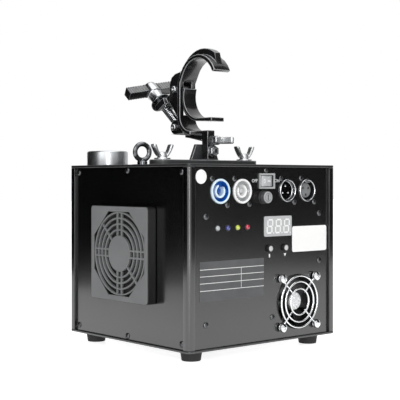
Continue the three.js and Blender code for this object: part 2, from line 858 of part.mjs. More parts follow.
function lamp(name, material) {
  const rim = lampRadius + gap + lampRimThick;
  const rimBack = -panelThick - gap;
  const dome = [30, 60].map((angle) => {
    const turn = degrees(angle);
    return [lampRadius * Math.cos(turn), lampStand - lampRadius + lampRadius * Math.sin(turn)];
  });
  const profile = [
    [0, gap - boardDepth],
    [lampRadius, gap - boardDepth],
    [lampRadius, rimBack - lampRimThick],
    [rim, rimBack - lampRimThick],
    [rim, rimBack],
    [lampRadius, rimBack],
    [lampRadius, lampStand - lampRadius],
    ...dome,
    [0, lampStand],
  ];
  return piece(name, turned(profile, coarse), material);
}

function button(name) {
  const rimBack = -panelThick - gap;
  const rim = buttonRadius + gap + buttonRim;
  const chamfer = buttonRim / 4;
  const profile = [
    [0, rimBack - 2 * buttonRim],
    [rim, rimBack - 2 * buttonRim],
    [rim, rimBack],
    [buttonRadius, rimBack],
    [buttonRadius, buttonStand - chamfer],
    [buttonRadius - chamfer, buttonStand],
    [0, buttonStand],
  ];
  return piece(name, turned(profile, medium), looks.blackPlastic());
}

function buildControls() {
  put(frontSide, display(), displayLeft, displayHeight);
  put(frontSide, controlBoard(), 0, 0, -boardDepth);
  const lampLooks = [looks.lampClear(), looks.lampBlue(), looks.lampGreen(), looks.lampRed()];
  for (const [index, left] of lampLefts.entries()) {
    put(frontSide, lamp("lamp_" + (index + 1), lampLooks[index]), left, lampHeight);
  }
  for (const [index, left] of buttonLefts.entries()) {
    put(frontSide, button("button_" + (index + 1)), left, buttonHeight);
  }
}
buildControls();

// Fans

// Square frame with a round duct; struts behind carry the hub plate and its shaft.
function fanFrame(name, size, depth, spacing) {
  const bore = size / 2 - fanWall;
  const hub = size * fanHubShare;
  const shape = roundedRect(size, size, fanScrewRadius * 2);
  for (const [x, y] of screwCorners(spacing)) shape.holes.push(circleHole(fanScrewRadius, x, y, coarse));
  const shell = placed(extruded(shape, depth), 0, 0, -depth);
  const spiderTop = -depth + fanStrutThick;
  const deep = [-depth - 2 * over, spiderTop];
  const along = [-size, size];
  const across = [-fanStrutWidth / 2, fanStrutWidth / 2];
  const plate = rodZ(hub, deep[0], deep[1]);
  const spider = join(plate, block(along, across, deep), block(across, along, deep));
  const duct = cut(rodZ(bore, -depth - over, over, 0, 0, fine), spider);
  const shaft = rodZ(fanShaftRadius, spiderTop - fanStrutThick / 2, -fanTipGap * 3, 0, 0, coarse);
  return piece(name, join(cut(shell, duct), shaft), looks.blackPlastic());
}

function fanRotor(name, size, depth) {
  const tip = size / 2 - fanWall - fanTipGap;
  const hub = size * fanHubShare;
  const low = -depth + fanStrutThick + runGap;
  const high = -fanTipGap * 2;
  const body = rodZ(hub, low, high);
  const half = tip / 2;
  const vanes = Array.from({ length: fanBlades }, (unused, index) => {
    const chord = (high - low - 2 * fanTipGap) / Math.cos(degrees(fanBladePitch));
    const geometry = new THREE.BoxGeometry(half * 2, fanBladeThick, chord);
    geometry.rotateX(degrees(fanBladePitch));
    geometry.translate(half, 0, (low + high) / 2);
    geometry.rotateZ((index * Math.PI * 2) / fanBlades);
    return solidOf(geometry);
  });
  const limit = rodZ(tip, low + fanTipGap, high - fanTipGap);
  const wheel = join(body, join(...vanes).intersect(limit));
  const bore = rodZ(fanShaftRadius + gap, low - over, high - fanTipGap, 0, 0, coarse);
  return piece(name, cut(wheel, bore), looks.blackPlastic());
}

// A closed ring of wire lying flat.
function ring(radius, wire) {
  return placed(new THREE.TorusGeometry(radius, wire, wireSides, fine));
}

// Wire finger guard: rings on four legs that run down to a screw at each corner.
function wireGuard() {
  const rings = wireRings.map((radius) => ring(radius, wireRadius));
  const lifted = rings.map((solid) => solid.translate([0, 0, wireStand + wireRadius]));
  const legs = screwCorners(frontFanScrews).map(([x, y]) => {
    const inner = wireRings[2];
    const length = Math.hypot(x, y) - inner + wireRadius;
    const geometry = new THREE.CylinderGeometry(wireRadius, wireRadius, length, wireSides);
    geometry.rotateZ(-Math.PI / 2);
    geometry.translate(inner - wireRadius + length / 2, 0, wireStand);
    geometry.rotateZ(Math.atan2(y, x));
    return solidOf(geometry);
  });
  const screws = screwCorners(frontFanScrews).map(([x, y]) => {
    const shank = rodZ(fanScrewRadius, gap, guardHeadStand, x, y, coarse);
    const head = rodZ(guardHeadRadius, guardHeadStand - guardHeadTall, guardHeadStand, x, y, coarse);
    const collar = rodZ(guardHeadRadius, gap, wireStand + wireRadius, x, y, coarse);
    return join(shank, head, collar);
  });
  return piece("wire_guard", join(...lifted, ...legs, ...screws), looks.steel());
}

// An eight-sided outline of that width across its flats.
function octagonOf(across, kind) {
  const half = Math.PI / 8;
  const reach = across / 2 / Math.cos(half);
  const points = Array.from({ length: 8 }, (unused, index) => {
    const turn = half * (2 * index + 1);
    return new THREE.Vector2(reach * Math.cos(turn), reach * Math.sin(turn));
  });
  return new kind().setFromPoints(points).closePath();
}

// Filter guard: a deep square rim, an eight-sided opening, and rings on spokes over the filter foam.
function filterGuard() {
  const octagon = octagonOf(filterOpening, THREE.Path);
  const rim = roundedRect(filterSize, filterSize, filterCorner);
  rim.holes.push(octagon);
  const frame = placed(extruded(rim, filterDeep - gap), 0, 0, gap);
  const top = filterDeep - filterRingThick / 3;
  const low = top - filterRingThick;
  const rings = Array.from({ length: filterRings }, (unused, index) => {
    const middle = filterDisc + (index + 1) * filterRingStep;
    const outer = rodZ(middle + filterRingWidth / 2, low, top, 0, 0, filterSides);
    return cut(outer, rodZ(middle - filterRingWidth / 2, low - over, top + over, 0, 0, filterSides));
  });
  const disc = rodZ(filterDisc, low, top, 0, 0, filterSides);
  const reach = filterOpening / 2 + over;
  const across = [-filterSpokeWidth / 2, filterSpokeWidth / 2];
  const pairs = [-1, 1].flatMap((side) => {
    const shift = (side * filterSpokeApart) / 2;
    const ends = across.map((edge) => edge + shift);
    return [block(ends, [-reach, reach], [low, top]), block([-reach, reach], ends, [low, top])];
  });
  const slant = new THREE.BoxGeometry(reach * 2, filterSpokeWidth, filterRingThick);
  slant.translate(0, 0, (low + top) / 2);
  slant.rotateZ(degrees(135));
  return piece("filter_guard", join(frame, ...rings, disc, ...pairs, solidOf(slant)), looks.blackPlastic());
}

function filterFoam() {
  const thick = filterDeep - filterRingThick * (4 / 3) - 2 * gap - foamThick;
  const shape = octagonOf(filterOpening - 2 * gap, THREE.Shape);
  return piece("filter_foam", placed(extruded(shape, foamThick), 0, 0, thick + gap), looks.foam());
}

function buildFans() {
  const back = -panelThick - gap;
  const frontRotor = fanRotor("front_fan_rotor", frontFanSize, frontFanDepth);
  const sideRotor = fanRotor("side_fan_rotor", sideFanSize, sideFanDepth);
  const frontFrame = fanFrame("front_fan_frame", frontFanSize, frontFanDepth, frontFanScrews);
  const sideFrame = fanFrame("side_fan_frame", sideFanSize, sideFanDepth, sideFanScrews);
  put(frontSide, frontFrame, frontFanLeft, frontFanHeight, back);
  put(frontSide, frontRotor, frontFanLeft, frontFanHeight, back);
  put(frontSide, wireGuard(), frontFanLeft, frontFanHeight);
  const sideX = caseDepth / 2;
  put(fanSide, sideFrame, sideX, sideFanHeight, back);
  put(fanSide, sideRotor, sideX, sideFanHeight, back);
  put(fanSide, filterGuard(), sideX, sideFanHeight);
  put(fanSide, filterFoam(), sideX, sideFanHeight);
}
buildFans();

// Nozzle, heater tube and blower

function nozzle() {
  const profile = [
    [nozzleBore, -nozzleSpigotLength],
    [nozzleSpigot, -nozzleSpigotLength],
    [nozzleSpigot, gap],
    [nozzleRadius, gap],
    [nozzleRadius, nozzleTall - nozzleChamfer],
    [nozzleRadius - nozzleChamfer * nozzleEaseShare, nozzleTall - nozzleChamfer * nozzleEaseShare],
    [nozzleRadius - nozzleChamfer, nozzleTall],
    [nozzleBore + nozzleChamfer, nozzleTall],
    [nozzleBore, nozzleTall - nozzleChamfer],
    [nozzleBore, -nozzleSpigotLength],
  ];
  return piece("nozzle", turned(profile, fine), looks.steel());
}

// The tube that the granules are heated in: a band heater round it and a feed port towards the auger.
function heaterTube() {
  const top = lidTop - nozzleSpigotLength - gap;
  const low = fromBottom(blowerNeckTop) + gap;
  const axis = fromBottom(augerHeight);
  const wall = rodZ(tubeRadius, low, top, 0, 0, medium);
  const bandTop = top - heaterBandDrop;
  const band = rodZ(tubeRadius + heaterBand, bandTop - heaterBandTall, bandTop, 0, 0, medium);
  const port = rodX(augerTubeRadius, 0, tubeRadius + heaterBand, 0, axis);
  const bore = rodZ(tubeRadius - tubeWall, low - over, top + over, 0, 0, medium);
  const feed = rodX(augerTubeRadius - augerTubeWall, 0, tubeRadius + heaterBand + over, 0, axis);
  return piece("heater_tube", cut(join(wall, band, port), bore, feed), looks.innerMetal());
}

// Blower: a round housing on a foot, open on one side for air, with a neck up to the heater tube.
function blowerHousing() {
  const axis = fromBottom(blowerHeight);
  const half = blowerThick / 2;
  const round = rodX(blowerRadius, -half, half, 0, axis, medium);
  const neckTop = fromBottom(blowerNeckTop);
  const neckHalf = blowerNeck / 2;
  const neck = block([-neckHalf, neckHalf], [-neckHalf, neckHalf], [axis, neckTop]);
  const collar = rodZ(tubeRadius, neckTop - blowerWall * 2, neckTop, 0, 0, medium);
  const footEnds = [-blowerFootWidth / 2, blowerFootWidth / 2];
  const foot = block(footEnds, footEnds, [floorTop + gap, axis]);
  const chamber = rodX(blowerRadius - blowerWall, blowerWall - half, half - blowerWall, 0, axis, medium);
  const inside = neckHalf - blowerWall;
  const duct = block([-inside, inside], [-inside, inside], [axis, neckTop + over]);
  const inlet = rodX(blowerInletRadius, 0, half + over, 0, axis);
  const shell = cut(join(round, neck, collar, foot), chamber, duct, inlet);
  const shaft = rodX(fanShaftRadius, blowerWall / 2 - half, half - blowerWall - over, 0, axis, coarse);
  return piece("blower_housing", join(shell, shaft), looks.blackPlastic());
}

function blowerImpeller() {
  const half = impellerThick / 2;
  const disc = rodX(impellerRadius, -half, -half + 2 * vaneThick);
  const hub = rodX(impellerHubRadius, -half, half - vaneThick);
  const vanes = Array.from({ length: vaneCount }, (unused, index) => {
    const inner = impellerHubRadius - vaneThick;
    const geometry = new THREE.BoxGeometry(impellerThick - vaneThick, impellerRadius - inner, vaneThick);
    geometry.translate(vaneThick / 2, (impellerRadius + inner) / 2, 0);
    geometry.rotateX((index * Math.PI * 2) / vaneCount);
    return solidOf(geometry);
  });
  const rim = rodX(impellerRadius, -half - over, half + over);
  const wheel = join(disc, hub, ...vanes).intersect(rim);
  const bore = rodX(fanShaftRadius + gap, -half - over, half + over, 0, 0, coarse);
  return piece("blower_impeller", cut(wheel, bore), looks.blackPlastic());
}

function buildNozzle() {
  const x = fromLeft(nozzleX);
  const y = fromFront(nozzleY);
  put(machine, nozzle(), x, y, lidTop);
  put(machine, heaterTube(), x, y);
  put(machine, blowerHousing(), x, y);
  put(machine, blowerImpeller(), x, y, fromBottom(blowerHeight));
}
buildNozzle();

// Hopper, auger and gear motor, laid out from the hopper's axis

const augerStart = nozzleX + tubeRadius + heaterBand + gap - hopperX;
const augerEnd = hopperRadius;

function hopper() {
  const top = lidUnder - gap;
  const axis = fromBottom(augerHeight);
  const shoulder = top - hopperNeckTall;
  const cone = axis + (shoulder - hopperShoulder - axis) * hopperConeShare;
  const outer = [
    [0, axis],
    [augerTubeRadius, axis],
    [hopperRadius, cone],
    [hopperRadius, shoulder - hopperShoulder],
    [hopperNeckRadius, shoulder],
    [hopperNeckRadius, top - hopperFlangeThick],
    [hopperNeckRadius + hopperFlange, top - hopperFlangeThick],
    [hopperNeckRadius + hopperFlange, top],
    [0, top],
  ];
  const inner = [
    [0, axis],
    [augerTubeRadius - hopperWall, axis],
    [hopperRadius - hopperWall, cone],
    [hopperRadius - hopperWall, shoulder - hopperShoulder],
    [hopperNeckRadius - hopperWall, shoulder],
    [hopperNeckRadius - hopperWall, top + over],
    [0, top + over],
  ];
  const barrel = rodX(augerTubeRadius, augerStart, augerEnd, 0, axis);
  const plateEnds = [augerEnd - motorFlangeThick, augerEnd];
  const plate = rodX(motorRadius, plateEnds[0], plateEnds[1], 0, axis);
  const bore = rodX(augerTubeRadius - augerTubeWall, augerStart - over, augerEnd + over, 0, axis);
  const body = cut(join(turned(outer, medium), barrel, plate), turned(inner, medium), bore);
  return piece("hopper", body, looks.innerMetal());
}

// A helical flight of square section round X, as one closed strip.
function helixFlight(inner, outer, pitch, thick, length) {
  const steps = Math.round((coarse * length) / pitch);
  const corners = [[inner, 0], [outer, 0], [outer, thick], [inner, thick]];
  const positions = [];
  for (let step = 0; step <= steps; step++) {
    const turn = (step * 2 * Math.PI) / coarse;
    for (const [radius, along] of corners) {
      const x = (length * step) / steps + along;
      positions.push(x, radius * Math.cos(turn), radius * Math.sin(turn));
    }
  }
  const faces = [0, 1, 2, 0, 2, 3];
  for (let step = 0; step < steps; step++) {
    for (let side = 0; side < 4; side++) {
      const a = step * 4 + side;
      const b = step * 4 + ((side + 1) % 4);
      faces.push(a, a + 4, b, b, a + 4, b + 4);
    }
  }
  const last = steps * 4;
  faces.push(last, last + 2, last + 1, last, last + 3, last + 2);
  const geometry = new THREE.BufferGeometry();
  geometry.setAttribute("position", new THREE.BufferAttribute(new Float32Array(positions), 3));
  geometry.setIndex(faces);
  return solidOf(geometry);
}

function feedAuger() {
  const outer = augerTubeRadius - augerTubeWall - runGap;
  const start = augerStart + runGap;
  const length = augerEnd - augerFlightThick - 2 * runGap - start;
  const flight = helixFlight(augerShaftRadius / 2, outer, augerPitch, augerFlightThick, length);
  const shaft = rodX(augerShaftRadius, start, augerEnd, 0, 0, coarse);
  return piece("feed_auger", join(flight.translate([start, 0, 0]), shaft), looks.innerMetal());
}

function gearMotor() {
  const start = augerEnd + gap;
  const gearbox = rodX(motorRadius, start, start + gearboxLength);
  const canStart = start + gearboxLength;
  const can = rodX(motorRadius - motorFlangeThick, canStart - over, canStart + motorLength);
  return piece("gear_motor", join(gearbox, can), looks.innerMetal());
}

// Filler cap: a low disc on the lid with a threaded skirt in the hopper's neck and two finger dents.
function fillerCap() {
  const skirt = hopperNeckRadius - hopperWall - 2 * runGap;
  const profile = [
    [0, gap],
    [skirt - capWall, gap],
    [skirt - capWall, -capSkirt],
    [skirt, -capSkirt],
    [skirt, gap],
    [capRadius, gap],
    [capRadius, gap + capThick],
    [0, gap + capThick],
  ];
  const dents = [-1, 1].map((side) => {
    return rodZ(capKnobInset, gap + capThick / 2, gap + capThick + over, (side * capRadius) / 2, 0);
  });
  return piece("filler_cap", cut(turned(profile, medium), ...dents), looks.caseBlack());
}

function buildFeed() {
  const x = fromLeft(hopperX);
  const y = fromFront(nozzleY);
  put(machine, hopper(), x, y);
  put(machine, feedAuger(), x, y, fromBottom(augerHeight));
  put(machine, gearMotor(), x, y, fromBottom(augerHeight));
  put(machine, fillerCap(), x, y, lidTop);
}
buildFeed();

// Power supply: a boxed unit on the case floor with its terminals in a notch.
function powerSupply() {
  const halfX = supplyWidth / 2;
  const halfY = supplyDepth / 2;
  const box = block([-halfX, halfX], [-halfY, halfY], [0, supplyTall]);
  const notchTall = [supplyTall / 2, supplyTall + over];
  const notch = block([-halfX - over, supplyNotch - halfX], [-halfY - over, halfY + over], notchTall);
  return piece("power_supply", cut(box, notch), looks.innerMetal());
}
put(machine, powerSupply(), fromLeft(supplyX), fromFront(supplyY), floorTop + gap);

// Lifting eye: a welded ring on a collar, its shank ending on the lid.
function liftingEye() {
  const torus = new THREE.TorusGeometry(eyeRingRadius, eyeWireRadius, coarse, medium);
  const loop = placed(torus, 0, 0, 0, Math.PI / 2);
  const lifted = loop.translate([0, 0, eyeCentreRise]);
  const collar = rodZ(eyeCollarRadius, gap, eyeCollarTall);
  const neckTop = eyeCentreRise - eyeRingRadius;
  const neck = rodZ(eyeCollarRadius, eyeCollarTall - over / 2, neckTop, 0, 0, medium, eyeWireRadius);
  return piece("lifting_eye", join(lifted, collar, neck), looks.steel());
}
const eye = put(machine, liftingEye(), fromLeft(eyeX), fromFront(caseDepth / 2), lidTop);
eye.rotation.z = degrees(-eyeTurn);

// Wings for a hand screw, standing up from a hub along Z, spread along X.
function wings(span, low, rise) {
  const tip = wingThick / 2;
  const startX = wingHubRadius - tip;
  const endX = span / 2 - tip;
  const endZ = rise - tip;
  return [-1, 1].map((side) => {
    const length = Math.hypot(endX - startX, endZ - low);
    const lean = Math.atan2(side * (endX - startX), endZ - low);
    const shape = roundedRect(wingThick, length + wingThick, tip * wingTipShare);
    const geometry = extruded(shape, wingWide, 3);
    geometry.translate(0, 0, -wingWide / 2);
    geometry.rotateX(Math.PI / 2);
    geometry.rotateY(lean);
    geometry.translate((side * (startX + endX)) / 2, 0, (low + endZ) / 2);
    return solidOf(geometry);
  });
}

// Bracket strip across the lid, with full round ends about its two bolts.
function bracketStrip() {
  const half = wingSpacing / 2;
  const radius = stripWidth / 2;
  const shape = new THREE.Shape();
  shape.absarc(half, 0, radius, -Math.PI / 2, Math.PI / 2);
  shape.absarc(-half, 0, radius, Math.PI / 2, Math.PI * 1.5);
  shape.closePath();
  for (const side of [-1, 1]) {
    shape.holes.push(circleHole(wingShankRadius + gap, side * half, 0, coarse));
  }
  const solid = placed(extruded(shape, stripThick - gap, bend), 0, 0, gap);
  return piece("bracket_strip", solid, looks.clampBlack());
}

function wingBolt(name) {
  const seat = stripThick + gap;
  const washerTop = seat + washerThick;
  const washer = rodZ(washerRadius, seat, washerTop);
  const hubTop = washerTop + wingHubTall;
  const hubTopRadius = wingHubRadius * wingHubTopShare;
  const hub = rodZ(wingHubRadius, washerTop - over / 2, hubTop, 0, 0, medium, hubTopRadius);
  const shank = rodZ(wingShankRadius, -wingBoltEnd, washerTop, 0, 0, coarse);
  const pair = wings(wingSpan, washerTop + wingThick / 2, stripThick + wingTopRise);
  return piece(name, join(washer, hub, shank, ...pair), looks.steel());
}

function buildStrip() {
  const y = fromFront(stripY);
  put(machine, bracketStrip(), fromLeft(stripX), y, lidTop);
  put(machine, wingBolt("wing_bolt_left"), fromLeft(stripX) - wingSpacing / 2, y, lidTop);
  put(machine, wingBolt("wing_bolt_right"), fromLeft(stripX) + wingSpacing / 2, y, lidTop);
}
buildStrip();

// Clamp. Its frame has its origin on the pipe's axis, half way along the clamp, with Y to the
// rear and Z up.

const clamp = new THREE.Group();
clamp.position.set(fromLeft(clampX), fromFront(pipeY), fromBottom(pipeHeight));
machine.add(clamp);

const legFront = -legBack - legDeep;
const stripTop = lidTop + stripThick - fromBottom(pipeHeight);
const wallOuter = wallReach + clampFlange;

// The flange: a hook over the pipe, an upright wall and a lower corner that runs into the arm.
function flangeShape() {
  const inner = pipeRadius + hookGap;
  const outer = inner + clampFlange;
  const start = degrees(hookStart);
  const end = degrees(hookEnd);
  const corner = wallReach - cornerRadius;
  const low = cornerRadius - armHeight;
  const shape = new THREE.Shape();
  shape.moveTo(wallOuter, low);
  shape.lineTo(wallOuter, wallTop);
  shape.absarc(0, 0, outer, start, end);
  shape.absarc(0, 0, inner, end, start, true);
  shape.lineTo(wallReach, wallTop);
  shape.absarc(corner, low, cornerRadius, 0, -Math.PI / 2, true);
  shape.absarc(corner, low, cornerRadius + clampFlange, -Math.PI / 2, 0);
  shape.closePath();
  return shape;
}

// The rib outside the hook: it runs out to nothing at the tip and meets the cheeks at the back.
function ribShape() {
  const crest = pipeRadius + hookGap + clampFlange + ribRise;
  const inner = pipeRadius + hookGap + clampFlange / 2;
  const end = degrees(hookEnd);
  const shape = new THREE.Shape();
  shape.absarc(0, 0, inner, end, 0, true);
  shape.lineTo(wallOuter, jawPinZ);
  shape.lineTo(jawPinY, jawPinZ + humpRise);
  shape.absarc(0, 0, crest, degrees(hookStart * ribStartShare), degrees(hookEnd * ribEndShare));
  shape.closePath();
  return shape;
}

// A cheek: a rounded hump round the jaw pin and an ear round the bolt pin.
function cheekShape() {
  const right = jawPinY + humpReach;
  const inner = wallReach + clampFlange / 2;
  const shape = new THREE.Shape();
  shape.moveTo(inner, jawPinZ + humpRise);
  const [crestOut, crestUp] = cheekCrestShares;
  shape.lineTo(jawPinY + humpReach * crestOut, jawPinZ + humpRise * crestUp);
  shape.lineTo(jawPinY + humpReach * cheekKneeShare, jawPinZ + humpShoulder);
  shape.lineTo(right, jawPinZ + humpShoulder * cheekShoulderShare);
  shape.lineTo(right, jawPinZ - humpDrop);
  shape.lineTo(inner + clampFlange, boltPinZ + earRadius * earStartShare);
  shape.absarc(boltPinY, boltPinZ, earRadius, degrees(80), degrees(-110), true);
  const [footIn, footDown] = earFootShares;
  shape.lineTo(inner - cornerRadius * footIn, boltPinZ - earRadius * footDown);
  shape.lineTo(inner, boltPinZ + earRadius);
  shape.closePath();
  return shape;
}

// The arm under the pipe: it narrows from the flange's width to the leg's.
function clampArm() {
  const shape = new THREE.Shape();
  const start = wallReach - cornerRadius + over / 2;
  shape.moveTo(start, -clampWidth / 2);
  shape.lineTo(start, clampWidth / 2);
  shape.lineTo(-legBack, legWide / 2);
  shape.lineTo(legFront, legWide / 2);
  shape.lineTo(legFront, -legWide / 2);
  shape.lineTo(-legBack, -legWide / 2);
  shape.closePath();
  const geometry = extruded(shape, clampFlange);
  geometry.rotateZ(Math.PI / 2);
  return placed(geometry, 0, 0, -armHeight - clampFlange).mirror([1, 0, 0]);
}

// The web under the arm, from the ear down to the leg.
function gussetShape() {
  const low = -armHeight - clampFlange / 2;
  const shape = new THREE.Shape();
  shape.moveTo(-legBack - legDeep / 2, low);
  shape.lineTo(wallReach, low);
  const [kneeIn, kneeHigh, kneeLow] = gussetShares;
  shape.lineTo(wallReach, boltPinZ - earRadius * kneeHigh);
  shape.lineTo(wallReach - cornerRadius * kneeIn, boltPinZ - earRadius * kneeLow);
  shape.lineTo(-legBack - legDeep / 2, low - gussetDrop);
  shape.closePath();
  return shape;
}

function clampBody() {
  const half = clampWidth / 2;
  const flange = slabX(flangeShape(), -half, half, bend);
  const rib = slabX(ribShape(), -ribThick / 2, ribThick / 2, bend);
  const gusset = slabX(gussetShape(), -ribThick / 2, ribThick / 2);
  const slotHalf = slotWidth / 2;
  const cheekOuter = slotHalf + cheekThick;
  const cheeks = slabX(cheekShape(), -cheekOuter, cheekOuter, bend);
  const legEnds = [-legWide / 2, legWide / 2];
  const leg = block(legEnds, [legFront, -legBack], [stripTop + gap, -armHeight - clampFlange / 2]);
  const slot = [-slotHalf, slotHalf];
  const behind = jawPinY + humpReach + over;
  const window = block(slot, [wallReach - over, behind], [-windowLow, windowTop]);
  const earEnds = [boltPinZ - earRadius * 2, over - windowLow];
  const earSlot = block(slot, [wallOuter - over, behind], earEnds);
  const pinHole = clampPinRadius + gap;
  const jawHole = rodX(pinHole, -half, half, jawPinY, jawPinZ);
  const boltHole = rodX(pinHole, -half, half, boltPinY, boltPinZ);
  const footHole = rodY(footBoltRadius + gap, legFront - over, over, 0, stripTop + footBoltRise, coarse);
  const screwHole = rodY(screwRadius + gap, legFront - over, over, 0, stripTop + screwRise, medium);
  const body = join(flange, rib, cheeks, clampArm(), gusset, leg);
  const holes = [window, earSlot, jawHole, boltHole, footHole, screwHole];
  return piece("clamp_body", cut(body, ...holes), looks.clampBlack());
}

function clampPin(name) {
  const reach = slotWidth / 2 + cheekThick + gap;
  const shank = rodX(clampPinRadius, -reach, reach);
  const heads = [-1, 1].map((side) => {
    const profile = [
      [0, reach],
      [clampPinHead, reach],
      [clampPinHead * pinHeadTopShare, reach + clampPinStand * pinHeadTopShare],
      [0, reach + clampPinStand],
    ];
    return turned(profile).rotate([0, side * 90, 0]);
  });
  return piece(name, join(shank, ...heads), looks.steel());
}

// Jaw: a curved pad with a tab, a hub on its pin, and a tail that ends in a fork for the bolt.
// The pad is laid out closed on the pipe and then swung open about its pin.
function clampJaw() {
  const half = jawWidth / 2;
  const upper = degrees(jawUpper);
  const lower = degrees(-jawLower);
  const swing = degrees(jawClose);
  const toHub = new THREE.Vector2(-jawPinY, -jawPinZ);
  const centre = toHub.rotateAround(new THREE.Vector2(), swing);
  const outer = jawPadRadius + jawThick;
  const pad = new THREE.Shape();
  pad.absarc(centre.x, centre.y, jawPadRadius, upper, lower, true);
  const tabX = centre.x + jawPadRadius * Math.cos(lower);
  const tabZ = centre.y + jawPadRadius * Math.sin(lower);
  pad.lineTo(tabX - jawTab, tabZ);
  pad.lineTo(tabX - jawTab, tabZ - jawTabThick);
  pad.absarc(centre.x, centre.y, outer, lower, upper);
  pad.closePath();
  const web = new THREE.Shape();
  const [webHigh, webLow] = webEndShares;
  const webRadius = jawPadRadius + jawThick / 2;
  web.absarc(centre.x, centre.y, webRadius, upper * webHigh, lower * webLow, true);
  const [webIn, webDown] = webFootShares;
  web.lineTo(jawHubRadius * webIn, -jawHubRadius * webDown);
  web.lineTo(0, jawHubRadius);
  web.closePath();
  const neckHalf = jawNeckWidth / 2;
  const hub = rodX(jawHubRadius, -neckHalf, neckHalf);
  const thin = tailThick / 2;
  const neck = block([-neckHalf, neckHalf], [0, notchStart], [-thin, thin]);
  const prongs = block([-forkWidth / 2, forkWidth / 2], [forkStart, forkEnd - thin], [-thin, thin]);
  const nose = rodX(thin, -forkWidth / 2, forkWidth / 2, forkEnd - thin);
  const notchEnds = [notchStart, forkEnd + over];
  const notch = block([-notchWidth / 2, notchWidth / 2], notchEnds, [-thin - over, thin + over]);
  const fork = cut(join(neck, prongs, nose), notch).rotate([-tailAngle, 0, 0]);
  const bore = rodX(clampPinRadius + gap, -half, half);
  const pads = join(slabX(pad, -half, half, bend), slabX(web, -neckHalf, neckHalf));
  return piece("clamp_jaw", cut(join(pads, hub, fork), bore), looks.clampBlack());
}

// Swing bolt: an eye on its pin and a plain rod along Z.
function swingBolt() {
  const half = boltEyeWidth / 2;
  const eyeRound = rodX(boltEyeRadius, -half, half);
  const rod = rodZ(boltRadius, 0, boltEnd);
  const bore = rodX(clampPinRadius + gap, -half - over, half + over);
  return piece("swing_bolt", cut(join(eyeRound, rod), bore), looks.steel());
}

// Collar and dished disc that press on the fork.
function thrustWasher() {
  const bore = boltRadius + runGap;
  const profile = [
    [bore, collarStart],
    [collarRadius, collarStart],
    [collarRadius, discStart],
    [discRadius, discStart],
    [discRadius, discStart + discThick],
    [bore, discStart + discThick],
    [bore, collarStart],
  ];
  return piece("thrust_washer", turned(profile, fine), looks.steel());
}

// T-handle: a round barrel on the bolt's thread and a square cross bar with grip teeth.
function barOutline() {
  const half = barSize / 2;
  const first = barrelRadius + barSize / 8;
  const pitch = (barHalf - first) / barTeeth;
  const marks = Array.from({ length: 2 * barTeeth + 1 }, (unused, index) => index);
  const edge = marks.map((mark) => [first + (mark * pitch) / 2, half - (mark % 2) * toothDeep]);
  const mirrored = edge.map(([x, y]) => [-x, y]);
  const upper = [...edge.reverse(), ...mirrored];
  const lower = upper.map(([x, y]) => [-x, -y]);
  const shape = new THREE.Shape();
  shape.setFromPoints([...upper, ...lower].map(([x, y]) => new THREE.Vector2(x, y)));
  return shape;
}

function tHandle() {
  const start = discStart + discThick + gap;
  const barrel = rodZ(barrelRadius, start, barrelEnd);
  const bar = placed(extruded(barOutline(), barSize), 0, 0, barAlong - barSize / 2);
  const bore = rodZ(boltRadius + runGap / 2, start - over, barrelEnd + over);
  return piece("t_handle", cut(join(barrel, bar), bore), looks.clampBlack());
}

// Foot: an upright plate behind the leg, bolted through it with a nut in front.
function clampFoot() {
  const shape = new THREE.Shape();
  shape.moveTo(-footPlateBottom / 2, stripTop + gap);
  shape.lineTo(footPlateBottom / 2, stripTop + gap);
  shape.lineTo(footPlateTop / 2, stripTop + footPlateTall);
  shape.lineTo(-footPlateTop / 2, stripTop + footPlateTall);
  shape.closePath();
  const geometry = extruded(shape, footPlateThick);
  const front = gap - legBack;
  const plate = placed(geometry, 0, front + footPlateThick, 0, Math.PI / 2);
  const height = stripTop + footBoltRise;
  const washerFront = legFront - gap - nutWasherThick;
  const nutFront = washerFront - nutThick;
  const shank = rodY(footBoltRadius, nutFront - over, front + over, 0, height, coarse);
  const washer = rodY(nutWasherRadius, washerFront, legFront - gap, 0, height);
  const nutRadius = nutAcross / 2 / Math.cos(Math.PI / 6);
  const nut = rodY(nutRadius, nutFront, washerFront + over / 2, 0, height, 6);
  return piece("clamp_foot", join(plate, shank, washer, nut), looks.clampBlack());
}

// Hand screw through the leg: its wings are swept towards the connector side.
function wingScrew() {
  const hubEnd = screwStand;
  const shank = rodZ(screwRadius, 0, hubEnd + legDeep);
  const hub = rodZ(wingHubRadius, legDeep + gap + over, legDeep + hubEnd, 0, 0, medium);
  const pair = wings(wingSpan, legDeep + hubEnd * screwWingShare, legDeep + hubEnd + screwWingRise);
  return piece("wing_screw", join(shank, hub, ...pair), looks.steel());
}

function buildClamp() {
  put(clamp, clampBody());
  put(clamp, clampPin("jaw_pin"), 0, jawPinY, jawPinZ);
  put(clamp, clampPin("bolt_pin"), 0, boltPinY, boltPinZ);
  put(clamp, clampJaw(), 0, jawPinY, jawPinZ);
  const swing = new THREE.Group();
  swing.position.set(0, boltPinY, boltPinZ);
  swing.rotation.x = degrees(boltRise - 90);
  clamp.add(swing);
  put(swing, swingBolt());
  put(swing, thrustWasher());
  put(swing, tHandle()).rotation.z = degrees(-barTurn);
  put(clamp, clampFoot());
  const screw = put(clamp, wingScrew(), 0, -legBack, stripTop + screwRise);
  screw.rotation.x = Math.PI / 2;
}
buildClamp();

// The whole object, moved so that its origin is the bottom centre of its box
const part = new THREE.Group();
const box = new THREE.Box3().setFromObject(machine);
const middle = box.getCenter(new THREE.Vector3());
machine.position.set(-middle.x, -middle.y, -box.min.z);
part.add(machine);

export default part;
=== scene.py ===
# %% [markdown]
# # A cold spark machine
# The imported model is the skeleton: every piece below sits where that model says, in metres. Pieces
# whose shape is already right keep their mesh and get a finish. The others are modelled again with
# rounder edges and finer detail, and stand for the node that they replace.

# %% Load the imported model
import math

